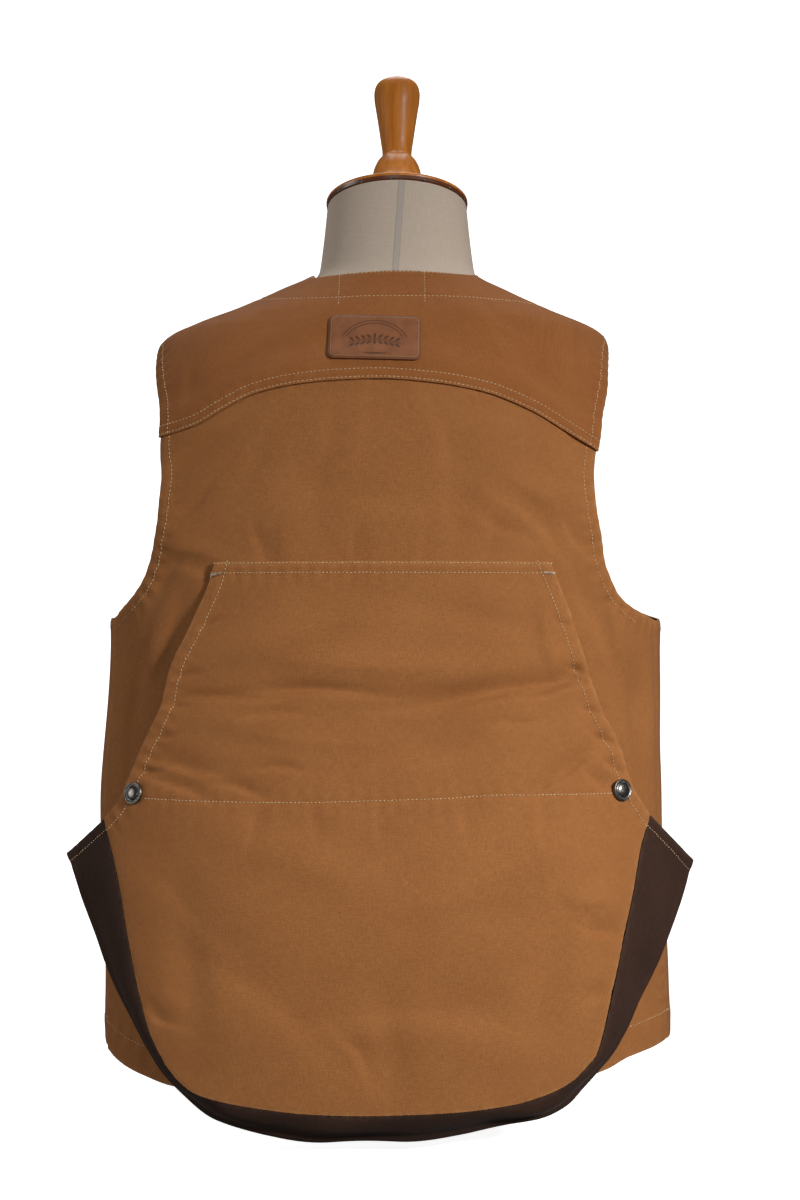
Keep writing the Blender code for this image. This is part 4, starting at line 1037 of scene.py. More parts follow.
class Finish:
    """A named material, which each kind of finish paints in its own way."""

    name: str

    def build(self) -> Material:
        """The finish as a material."""
        layer = NodeLayer(self.name)
        self.paint(layer)
        return layer.material

    def paint(self, n: NodeLayer) -> None:
        """Sets the material's shader."""


@dataclass(frozen=True)
class CanvasFinish(Finish):
    """Cotton canvas: a fine steep twill, slubs, a soft bloom, paler edges and painted shade along its stitch
    rows.
    """

    name: str
    colour: Triple
    deep: Triple
    # the paler colour of the twill's light stripes and of the paler edges
    worn: Triple
    fleck: float = 0.24
    twill_pitch: float = 0.00115
    roughness: float = 0.86
    sheen: float = 0.04

    def paint(self, n: NodeLayer) -> None:
        """Sets the material's shader."""
        uv = n.place("UV")
        u, v, _ = n.split(uv)
        slope = n.plus(n.times(u, 0.87), n.times(v, 0.5))
        waver = n.times(n.noise(uv, 260.0, 1.0), 0.0009)
        phase = n.times(n.plus(slope, waver), 2 * math.pi / self.twill_pitch)
        twill = n.math("MULTIPLY_ADD", n.math("SINE", phase), 0.5, 0.5)
        grain = n.crossed(uv, 0.12, 0.10, 1500.0, 0.6)
        flecks = n.crossed(uv, 0.3, 0.3, 520.0)
        cloudy = n.noise(uv, 22.0, 3.0, 0.55)
        body = n.mix(n.spread(cloudy, 0.35, 0.68), self.deep, self.colour)
        body = n.tinted(n.spread(grain, 0.38, 0.62, 0.0, 0.55), body, (0.62, 0.60, 0.58))
        body = n.tinted(n.spread(flecks, 0.40, 0.60, 0.0, self.fleck), body, (0.66, 0.62, 0.58))
        body = n.mix(n.times(twill, 0.14), body, self.worn)
        # the cloth turns paler toward its edges, in patches of noise
        paler_edge = n.times(n.attribute("edge"), n.spread(n.noise(uv, 140.0), 0.4, 0.7, 0.1, 0.55))
        body = n.mix(paler_edge, body, self.worn)
        # painted shade: the cloth is darkened along its stitch rows, where shade falls in the sunk rows
        painted_row_shade = n.times(n.attribute("sewing"), 0.16)
        body = n.mix(painted_row_shade, body, self.deep)
        height = n.plus(n.times(twill, 0.5), grain)
        n.set(
            Base_Color=body,
            Roughness=self.roughness,
            Sheen_Weight=self.sheen,
            Sheen_Roughness=0.45,
            Specular_IOR_Level=0.18,
            Normal=n.bump(height, 0.00016, 0.8),
        )


@dataclass(frozen=True)
class ThreadFinish(Finish):
    """Twisted cotton thread."""

    name: str
    colour: Triple
    deep: Triple

    def paint(self, n: NodeLayer) -> None:
        """Sets the material's shader."""
        place = n.place("OBJECT")
        body = n.mix(n.spread(n.noise(place, 2600.0, 2.0), 0.35, 0.65), self.deep, self.colour)
        normal = n.bump(n.noise(place, 5200.0), 0.0001, 0.6)
        n.set(Base_Color=body, Roughness=0.7, Sheen_Weight=0.2, Normal=normal)


@dataclass(frozen=True)
class LeatherFinish(Finish):
    """Smooth reddish leather with a fine grain, burnished edges and dark pressed lines."""

    name: str = "patch_leather_finish"
    colour: Triple = (0.245, 0.090, 0.034)
    deep: Triple = (0.205, 0.071, 0.026)
    stamp: Triple = (0.070, 0.026, 0.012)

    def paint(self, n: NodeLayer) -> None:
        """Sets the material's shader."""
        place = n.place("OBJECT")
        body = n.mix(n.spread(n.noise(place, 130.0, 3.0), 0.35, 0.65), self.deep, self.colour)
        body = n.mix(n.times(n.attribute("edge"), 0.45), body, self.stamp)
        body = n.mix(n.times(n.attribute("stamp"), 0.88), body, self.stamp)
        cells = n.node("ShaderNodeTexVoronoi", feature="DISTANCE_TO_EDGE")
        n.link(place, cells.inputs["Vector"])
        cells.inputs["Scale"].default_value = 1300.0
        pores = n.spread(cells.outputs["Distance"], 0.0, 0.2)
        n.set(
            Base_Color=body,
            Roughness=n.spread(n.noise(place, 600.0), 0.3, 0.7, 0.55, 0.68),
            Specular_IOR_Level=0.22,
            Normal=n.bump(pores, 0.00008, 0.5),
        )


@dataclass(frozen=True)
class MetalFinish(Finish):
    """Dark gunmetal plating, duller and browner where it is worn."""

    name: str = "gunmetal_finish"
    colour: Triple = (0.20, 0.19, 0.175)
    worn: Triple = (0.115, 0.10, 0.085)

    def paint(self, n: NodeLayer) -> None:
        """Sets the material's shader."""
        place = n.place("OBJECT")
        patches = n.spread(n.noise(place, 420.0, 3.0), 0.4, 0.65)
        n.set(
            Base_Color=n.mix(patches, self.colour, self.worn),
            Metallic=1.0,
            Roughness=n.spread(n.noise(place, 900.0), 0.3, 0.7, 0.24, 0.42),
            Normal=n.bump(n.noise(place, 3000.0), 0.00004, 0.4),
        )


@dataclass(frozen=True)
class LinenFinish(Finish):
    """Plain woven linen with a woven tape down the middle of the neck's back."""

    name: str = "linen_finish"
    colour: Triple = (0.560, 0.462, 0.370)
    deep: Triple = (0.495, 0.402, 0.318)
    tape: Triple = (0.425, 0.368, 0.318)
    tape_lip: Triple = (0.27, 0.225, 0.185)
    thread_pitch: float = 0.0009
    tape_half: float = 0.0018
    tape_top: Pair = (-0.0036, 0.7224)
    tape_low: Pair = (0.0012, 0.6550)

    def paint(self, n: NodeLayer) -> None:
        """Sets the material's shader."""
        uv = n.place("UV")
        u, v, _ = n.split(uv)
        wave = 2 * math.pi / self.thread_pitch
        warp = n.math("SINE", n.times(u, wave))
        weft = n.math("SINE", n.times(v, wave))
        weave = n.math("MULTIPLY_ADD", n.times(warp, weft), 0.5, 0.5)
        grain = n.crossed(uv, 0.08, 0.08, 1100.0)
        body = n.mix(n.spread(grain, 0.35, 0.65), self.deep, self.colour)
        body = n.mix(n.times(weave, 0.18), body, self.deep)
        x, y, z = n.split(n.place("OBJECT"))
        lean = (self.tape_low[0] - self.tape_top[0]) / (self.tape_top[1] - self.tape_low[1])
        middle = n.math("MULTIPLY_ADD", n.math("SUBTRACT", self.tape_top[1], z), lean, self.tape_top[0])
        off = n.math("ABSOLUTE", n.math("SUBTRACT", x, middle))
        behind = n.math("GREATER_THAN", y, 0.0)
        inside = n.times(n.spread(off, self.tape_half, self.tape_half + 0.0003, 1.0, 0.0), behind)
        near = n.math("SUBTRACT", off, self.tape_half + 0.0005)
        lip = n.spread(n.math("ABSOLUTE", near), 0.0002, 0.0006, 1.0, 0.0)
        lip = n.times(lip, behind)
        body = n.mix(inside, body, self.tape)
        body = n.mix(n.times(lip, 0.45), body, self.tape_lip)
        height = n.plus(n.times(weave, 0.4), n.plus(grain, inside))
        normal = n.bump(height, 0.0002, 0.7)
        n.set(Base_Color=body, Roughness=0.9, Sheen_Weight=0.08, Specular_IOR_Level=0.2, Normal=normal)


@dataclass(frozen=True)
class WoodFinish(Finish):
    """Turned wood under clear varnish, its grain running up the knob, with painted shade on the cap's lower
    rim.
    """

    name: str = "wood_finish"
    colour: Triple = (0.640, 0.225, 0.022)
    deep: Triple = (0.420, 0.122, 0.009)
    # the colour of the painted shade on the cap's lower rim
    painted_rim_shade: Triple = (0.080, 0.018, 0.008)

    def paint(self, n: NodeLayer) -> None:
        """Sets the material's shader."""
        place = n.place("OBJECT")
        stretched = n.scaled(place, 1.0, 1.0, 0.09)
        bend = n.noise(n.scaled(place, 1.0, 1.0, 0.5), 30.0, 2.0)
        rings = n.noise(stretched, 190.0, 4.0, 0.6)
        share = n.spread(n.math("MULTIPLY_ADD", bend, 0.35, rings), 0.48, 0.88)
        body = n.mix(share, self.deep, self.colour)
        pores = n.noise(n.scaled(place, 1.0, 1.0, 0.05), 1900.0, 2.0)
        body = n.mix(n.spread(pores, 0.62, 0.74, 0.0, 0.45), body, self.deep)
        # painted shade: the cap's lower rim is painted nearly black for the shade under the rim
        body = n.mix(n.times(n.attribute("painted_rim_shade"), 0.9), body, self.painted_rim_shade)
        n.set(
            Base_Color=body,
            Roughness=0.48,
            Specular_IOR_Level=0.3,
            Coat_Weight=0.6,
            Coat_Roughness=0.24,
            Normal=n.bump(pores, 0.00005, 0.5),
        )


@dataclass(frozen=True)
class PaperFinish(Finish):
    """The pale studio floor and backdrop, which glow a little so that they read as white."""

    name: str = "studio_paper"
    colour: Triple = (0.93, 0.93, 0.93)
    shade: Triple = (0.88, 0.88, 0.88)
    glow: float = 0.90

    def paint(self, n: NodeLayer) -> None:
        """Sets the material's shader."""
        fine = n.noise(n.place("OBJECT"), 40.0, 2.0)
        body = n.mix(n.times(fine, 0.04), self.colour, self.shade)
        n.set(Base_Color=body, Roughness=0.9, Emission_Color=(1.0, 1.0, 1.0), Emission_Strength=self.glow)


@dataclass
class Finishes:
    """Every finish, built once."""

    tan: Material
    # the yoke's canvas: the tan canvas made darker, painted shade for the weaker light on the yoke
    yoke: Material
    brown: Material
    thread: Material
    border: Material
    tack: Material
    leather: Material
    metal: Material
    linen: Material
    wood: Material

    @classmethod
    def build(cls) -> "Finishes":
        """Builds them all."""
        tan = CanvasFinish(
            "tan_canvas_finish",
            colour=(0.360, 0.139, 0.0405),
            deep=(0.330, 0.123, 0.0350),
            worn=(0.46, 0.22, 0.080),
        )
        # painted shade: a darker copy of the tan canvas for the yoke, standing in for the weaker light that
        # falls on it
        yoke = CanvasFinish(
            "yoke_canvas_painted_shade_finish",
            colour=(0.308, 0.108, 0.0280),
            deep=(0.280, 0.094, 0.0235),
            worn=(0.42, 0.188, 0.062),
        )
        brown = CanvasFinish(
            "brown_canvas_finish",
            colour=(0.050, 0.0225, 0.0140),
            deep=(0.040, 0.0180, 0.0110),
            worn=(0.085, 0.046, 0.030),
            fleck=0.60,
        )
        return cls(
            tan=tan.build(),
            yoke=yoke.build(),
            brown=brown.build(),
            thread=ThreadFinish("thread_finish", (0.60, 0.43, 0.24), (0.46, 0.31, 0.15)).build(),
            border=ThreadFinish("border_thread_finish", (0.50, 0.33, 0.18), (0.36, 0.22, 0.11)).build(),
            tack=ThreadFinish("bartack_finish", (0.78, 0.66, 0.48), (0.62, 0.50, 0.33)).build(),
            leather=LeatherFinish().build(),
            metal=MetalFinish().build(),
            linen=LinenFinish().build(),
            wood=WoodFinish().build(),
        )


def settle(item: Item, slot: Slot, finish: Material, *nodes: str) -> Item:
    """Gives a finished piece its material and body, and hides the solids that it stands for.

    Args:
        item: The piece.
        slot: Not used.
        finish: Its material.
        nodes: The solids that it replaces.

    Returns:
        The piece.
    """
    item.data.materials.clear()
    item.data.materials.append(finish)
    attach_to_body(item, ROOT)
    if nodes:
        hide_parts(*nodes)
    return item


# Stitches


class StitchTree:
    """A Geometry Nodes tree that lays short stitches along curves."""

    NODES = {
        "given": "NodeGroupInput",
        "points": "GeometryNodeCurveToPoints",
        "ball": "GeometryNodeMeshUVSphere",
        "turn": "FunctionNodeAlignRotationToVector",
        "vary": "FunctionNodeRandomValue",
        "half": "ShaderNodeMath",
        "size": "ShaderNodeCombineXYZ",
        "place": "GeometryNodeInstanceOnPoints",
        "real": "GeometryNodeRealizeInstances",
        "smooth": "GeometryNodeSetShadeSmooth",
        "finish": "GeometryNodeSetMaterial",
        "out": "NodeGroupOutput",
    }
    VALUES = (
        ("ball", "Segments", 6),
        ("ball", "Rings", 5),
        ("ball", "Radius", 1.0),
        ("vary", 2, 0.44),
        ("vary", 3, 0.54),
    )
    LINKS = (
        ("given", "Curves", "points", "Curve"),
        ("given", "Pitch", "points", "Length"),
        ("points", "Tangent", "turn", "Vector"),
        ("given", "Seed", "vary", "Seed"),
        ("given", "Stitch Length", "half", 0),
        ("vary", 1, "half", 1),
        ("half", 0, "size", "X"),
        ("given", "Thread Radius", "size", "Y"),
        ("given", "Thread Radius", "size", "Z"),
        ("points", "Points", "place", "Points"),
        ("ball", "Mesh", "place", "Instance"),
        ("turn", "Rotation", "place", "Rotation"),
        ("size", 0, "place", "Scale"),
        ("place", 0, "real", 0),
        ("real", 0, "smooth", 0),
        ("smooth", 0, "finish", "Geometry"),
        ("given", "Thread", "finish", "Material"),
        ("finish", 0, "out", 0),
    )
    SEED = 7

    def __init__(self, name: str = "stitches_along_curves") -> None:
        """Args: name: The tree's name."""
        self.tree = bpy.data.node_groups.new(name, "GeometryNodeTree")
        self.ids: dict[str, str] = {}
        self.build()

    def socket(self, name: str, kind: str, default: float | int | None = None) -> None:
        """A named input of the tree."""
        made = self.tree.interface.new_socket(name, in_out="INPUT", socket_type=kind)
        if default is not None:
            made.default_value = default
        self.ids[name] = made.identifier

    def build(self) -> None:
        """Builds the tree: points along the curves, a stitch on each, all made real."""
        tree = self.tree
        self.socket("Curves", "NodeSocketGeometry")
        self.socket("Pitch", "NodeSocketFloat", 0.0032)
        self.socket("Stitch Length", "NodeSocketFloat", 0.0026)
        self.socket("Thread Radius", "NodeSocketFloat", 0.00032)
        self.socket("Seed", "NodeSocketInt", self.SEED)
        self.socket("Thread", "NodeSocketMaterial")
        tree.interface.new_socket("Stitches", in_out="OUTPUT", socket_type="NodeSocketGeometry")
        made = {name: tree.nodes.new(kind) for name, kind in self.NODES.items()}
        made["points"].mode = "LENGTH"
        made["turn"].axis = "X"
        made["vary"].data_type = "FLOAT"
        made["half"].operation = "MULTIPLY"
        for name, key, value in self.VALUES:
            made[name].inputs[key].default_value = value
        for source, output, name, key in self.LINKS:
            tree.links.new(made[source].outputs[output], made[name].inputs[key])

    def lay(
        self,
        name: str,
        lines: Sequence[Array],
        thread: Material,
        pitch: float = 0.0032,
        length: float = 0.0023,
        radius: float = 0.00036,
    ) -> Item:
        """Lays stitches along lines and gives them back as one plain mesh object.

        Args:
            name: The piece's name.
            lines: Lines of points on the cloth.
            thread: The thread's material.
            pitch: From one stitch to the next.
            length: A stitch's visible length.
            radius: The thread's radius.

        Returns:
            The stitches.
        """
        guide = curve_object(name + "_guide", lines)
        modifier = guide.modifiers.new("stitches", "NODES")
        modifier.node_group = self.tree
        values = {"Pitch": pitch, "Stitch Length": length, "Thread Radius": radius, "Thread": thread}
        for key, value in {**values, "Seed": self.SEED}.items():
            modifier[self.ids[key]] = value
        return made_real(guide, name)


def curve_object(name: str, lines: Sequence[Array], bevel: float = 0.0) -> Item:
    """A curve object with one straight-edged spline for each line of points."""
    data = bpy.data.curves.new(name, "CURVE")
    data.dimensions = "3D"
    data.bevel_depth = bevel
    data.bevel_resolution = 1
    data.use_fill_caps = bevel > 0
    for line in lines:
        spline = data.splines.new("POLY")
        spline.points.add(len(line) - 1)
        flat = np.concatenate([line, np.ones((len(line), 1))], axis=1)
        spline.points.foreach_set("co", flat.astype(np.float32).ravel())
    return linked(name, data)


# The vest's pieces


@dataclass
class Workshop:
    """What every piece is made with."""

    shape: VestShape
    edges: Edges
    finishes: Finishes
    shells: ShellMaker
    stitches: StitchTree
    cloth: float = 0.0016
    lap_rise: float = 0.0022
    shoulder_rise: float = 0.0040
    under_y: float = -0.035

    def sew(self, panel: Panel, name: str, slot: Slot, more: Sequence[Array] = (), *stitch: float) -> Item:
        """Lays a panel's stitches.

        Args:
            panel: The panel, whose sewn bands have a row each.
            name: The stitches' name.
            slot: The slot of the cloth.
            more: Lines of further rows inside the panel.
            stitch: The stitches' pitch and length, where they aren't the usual ones.

        Returns:
            The stitches.
        """
        thread = self.finishes.thread
        return settle(self.stitches.lay(name, [*panel.rows(), *more], thread, *stitch), slot, thread)


@dataclass
class Yoke:
    """The yoke over the upper back and the shoulders, with its double-stitched curved seam."""

    shop: Workshop
    side_cols: int = 91
    seam_cols: int = 181
    rows: int = 61
    band_angles: tuple[Pair, ...] = (
        (-24.0, 0.644), (0.0, 0.643), (20.0, 0.6345), (40.0, 0.63), (60.0, 0.6283), (90.0, 0.6285),
        (120.0, 0.629), (140.0, 0.6295), (160.0, 0.6305), (180.0, 0.6345), (204.0, 0.64),
    )
    seam_ends: Pair = (0.1800, -0.1510)
    seam_margin: float = 0.003
    under_margin: float = 0.010
    rise_fade: float = 0.020
    mark_lines: tuple[Triple, ...] = ((0.0442, 0.6500, 0.6232), (-0.0211, 0.6505, 0.6240))
    flat: Pair = (0.44, 0.24)
    area: float = 0.068

    def rise(self, points: Array) -> Array:
        """How far the yoke stands off where it laps over the back and the fronts."""
        shop = self.shop
        x, y, z = points[..., 0], points[..., 1], points[..., 2]
        edges = shop.edges
        left_x, right_x = self.seam_ends
        order = [(left_x, edges.yoke_left_z), *YOKE_EDGE.rows, (right_x, edges.yoke_right_z)]
        seam = curve_through(x, [r[0] for r in order], [r[1] for r in order])
        behind = 1 - ease((z - seam - edges.lap - self.seam_margin) / self.rise_fade)
        ahead = 1 - ease((y - shop.under_y - self.under_margin) / self.rise_fade)
        return np.maximum(shop.lap_rise * np.where(y > 0, behind, 0.0), shop.shoulder_rise * ahead)

    def place(self, grid: Array, out: float = 0.0) -> tuple[Array, Array]:
        """Points and normals of the yoke's plain outer surface, or of one that far above it."""
        points, normals = self.shop.shape.skin(grid)
        return points + normals * (self.rise(points) + out)[..., None], normals

    def grid(self) -> Array:
        """The yoke as a fan: columns run from its outer edge to the neck."""
        edges = self.shop.edges
        left_arm = edges.armhole(True, "back")
        right_arm = edges.armhole(False, "back")
        front_left = edges.upper_part(edges.armhole(True, "front"), edges.turn_z)
        front_right = edges.upper_part(edges.armhole(False, "front"), edges.turn_z)
        down_left = front_left[::-1] + edges.upper_part(left_arm, edges.yoke_left_z)[1:]
        up_right = edges.upper_part(right_arm, edges.yoke_right_z)[::-1] + front_right[1:]
        outer = joined(
            path(down_left, self.side_cols),
            path(edges.yoke(), self.seam_cols),
            path(up_right, self.side_cols),
        )
        inner = joined(
            edges.neck(edges.neck_seam, 42.0, self.side_cols),
            edges.neck(42.0, 138.0, self.seam_cols),
            edges.neck(138.0, 180.0 - edges.neck_seam, self.side_cols),
        )
        share = np.linspace(0, 1, self.rows)[:, None, None]
        return (1 - share) * outer[None] + share * inner[None]

    def build(self) -> None:
        """Makes the yoke and its stitches."""
        shop = self.shop
        points, normals = self.place(self.grid())
        total = 2 * self.side_cols + self.seam_cols - 3
        first = (self.side_cols - 1) / total
        last = (self.side_cols + self.seam_cols - 2) / total
        bands = (
            Band(Side.BOTTOM, (0.0016, 0.0081), first, last, rise=0.0004, pucker=0.00025),
            Band(Side.BOTTOM, (0.0090,), 0.0, first),
            Band(Side.BOTTOM, (0.0090,), last, 1.0),
            Band(Side.TOP, (0.0014,), 0.0, 1.0, rise=0.0003, pucker=0.00025, pitch=0.009),
        )
        neck_band, _ = self.place(self.neck_row())
        marks = [self.mark(x, top, low) for x, top, low in self.mark_lines]
        panel = Panel("cloth_back_yoke", points, normals, YOKE_CREASES, bands, [neck_band, *marks])
        # the yoke takes the darker copy of the canvas, painted shade for the weaker light on it
        made = settle(shop.shells.make(panel), Slot.TAN, shop.finishes.yoke, "back_yoke")
        inner_rows = [panel.on_cloth(line) for line in (neck_band, *marks)]
        sewn = shop.sew(panel, "stitches_yoke", Slot.TAN, inner_rows)

    def neck_row(self) -> Array:
        """The neck band's stitch row as many (angle, z) points."""
        return path([(math.radians(a), z) for a, z in self.band_angles], 160, (0.1, 1.0))

    def mark(self, x: float, top: float, low: float) -> Array:
        """One of the two short upright rows under the neck's edge."""
        z = np.linspace(top, low, 30)
        angle = self.shop.shape.angle_at_x(np.full(30, x), z)
        points, _ = self.place(np.stack([angle, z], axis=1))
        return points


@dataclass
class Back:
    """The back panel from its hem to under the yoke."""

    shop: Workshop
    cols: int = 221
    low_rows: int = 131
    high_rows: int = 71
    hem_width: float = 0.0215
    armhole_width: float = 0.0092
    flat: Pair = (0.51, 0.54)
    area: float = 0.230

    def grid(self) -> Array:
        """The panel's (angle, z) grid."""
        edges = self.shop.edges
        left_side = edges.side_seam(True, HEM[0][1] + 0.001, True)
        right_side = edges.side_seam(False, HEM[-1][1] + 0.001, True)
        left_arm = edges.upper_part(edges.armhole(True, "back"), edges.seam_height(True))
        right_arm = edges.upper_part(edges.armhole(False, "back"), edges.seam_height(False))
        left_arm = [p for p in left_arm if p[1] < edges.yoke_left_z + edges.lap]
        right_arm = [p for p in right_arm if p[1] < edges.yoke_right_z + edges.lap]
        top = edges.yoke(edges.lap)
        left = joined(
            path(left_side, self.low_rows),
            path([left_side[-1]] + left_arm[::-1][1:] + [top[0]], self.high_rows),
        )
        right = joined(
            path(right_side, self.low_rows),
            path([right_side[-1]] + right_arm[::-1][1:] + [top[-1]], self.high_rows),
        )
        bottom = path([left_side[0]] + self.shop.shape.on_back(HEM[1:-1]) + [right_side[0]], self.cols)
        return between(bottom, path(top, self.cols), left, right)

    def build(self) -> None:
        """Makes the panel and its stitches."""
        shop = self.shop
        points, normals = shop.shape.skin(self.grid())
        share = (self.low_rows - 1) / (self.low_rows + self.high_rows - 2)
        bands = (
            Band(Side.BOTTOM, (self.hem_width,), pitch=0.016),
            Band(Side.LEFT, (self.armhole_width,), share, 0.985),
            Band(Side.RIGHT, (self.armhole_width,), share, 0.985),
            Band(Side.LEFT, (0.0060,), 0.0, share, rise=0.0003, pucker=0.0004, sewn=False),
            Band(Side.RIGHT, (0.0060,), 0.0, share, rise=0.0003, pucker=0.0004, sewn=False),
        )
        panel = Panel("cloth_back_panel", points, normals, BACK_CREASES, bands)
        made = settle(shop.shells.make(panel), Slot.TAN, shop.finishes.tan, "back_panel")
        sewn = shop.sew(panel, "stitches_back", Slot.TAN)


@dataclass
class Front:
    """One of the two plain fronts, from its lap edge round to the side seam."""

    shop: Workshop
    left: bool
    cols: int = 121
    low_rows: int = 101
    mid_rows: int = 31
    high_rows: int = 91
    lap: float = 0.015
    lap_end: float = 0.038
    lap_fade: float = 0.02
    lap_top: float = 0.60
    row_z: float = 0.335
    turn_z: float = 0.4421
    hem_z: Triple = (0.0540, 0.0600, 0.0500)
    hem_width: float = 0.0215
    armhole_width: float = 0.0092
    flat: Pair = (0.36, 0.66)
    area: float = 0.163

    def grid(self) -> Array:
        """The panel's (angle, z) grid."""
        shop = self.shop
        edges, shape, left = shop.edges, shop.shape, self.left
        sign = 1 if left else -1
        centre_z = self.hem_z[2]
        side = edges.side_seam(left, self.hem_z[0] if left else self.hem_z[1], False)
        front_arm = [p for p in edges.armhole(left, "front")[::-1] if p[1] > side[-1][1] + 0.0008]
        rows = ARMHOLE.rows[:4]
        under_z = float(np.interp(-shop.under_y, [-row[3] for row in rows], [row[0] for row in rows]))
        arm_end = (shape.angle_at_y(shop.under_y, under_z, left), under_z)
        climb = [p for p in front_arm if p[1] < under_z - 0.001]
        turn = [p for p in climb if p[1] <= self.turn_z]
        rest = [turn[-1]] + [p for p in climb if p[1] > self.turn_z] + [arm_end]
        edge_side = joined(
            path(side, self.low_rows),
            path([side[-1]] + turn, self.mid_rows),
            path(rest, self.high_rows),
        )
        v_edge = [(shape.front_angle(sign * off, z, left), z) for off, z in V_EDGE]
        lap = [(shape.front_angle(-sign * self.lap, z, left), z) for z in (centre_z, 0.20, 0.30)]
        row_end = (shape.front_angle(-sign * self.lap, self.row_z, left), self.row_z)
        neck = [
            edges.neck_point(angle if left else 180 - angle)
            for angle in (edges.neck_seam, edges.neck_under)
        ]
        edge_front = joined(
            path(lap + [row_end], self.low_rows),
            path([row_end, (v_edge[0][0], 0.43), v_edge[0]], self.mid_rows),
            path(v_edge + neck, self.high_rows),
        )
        middle = (0.5 * (edge_front[0][0] + side[0][0]), 0.5 * (centre_z + side[0][1]) - 0.001)
        bottom = path([edge_front[0], middle, side[0]], self.cols)
        top = path([neck[-1], arm_end], self.cols)
        return between(bottom, top, edge_front, edge_side)

    def build(self) -> None:
        """Makes the panel and its stitches."""
        shop = self.shop
        word = "left" if self.left else "right"
        points, normals = shop.shape.skin(self.grid())
        if not self.left:
            z = points[..., 2]
            off = points[..., 0] - BODY.at("centre_x", z)
            lap = ease((off + self.lap_end) / self.lap_fade) * (z < self.lap_top)
            points = points + normals * (shop.lap_rise * lap)[..., None]
        total = self.low_rows + self.mid_rows + self.high_rows - 3
        first = (self.low_rows - 1) / total
        bands = (
            Band(Side.BOTTOM, (self.hem_width,), pitch=0.016),
            Band(Side.LEFT, (0.0020, 0.0250), 0.0, 0.985, rise=0.0005),
            Band(Side.RIGHT, (self.armhole_width,), first, 0.985),
        )
        panel = Panel("cloth_front_" + word, points, normals, FRONT_CREASES, bands)
        made = settle(shop.shells.make(panel), Slot.TAN, shop.finishes.tan, "front_" + word)
        sewn = shop.sew(panel, "stitches_front_" + word, Slot.TAN)


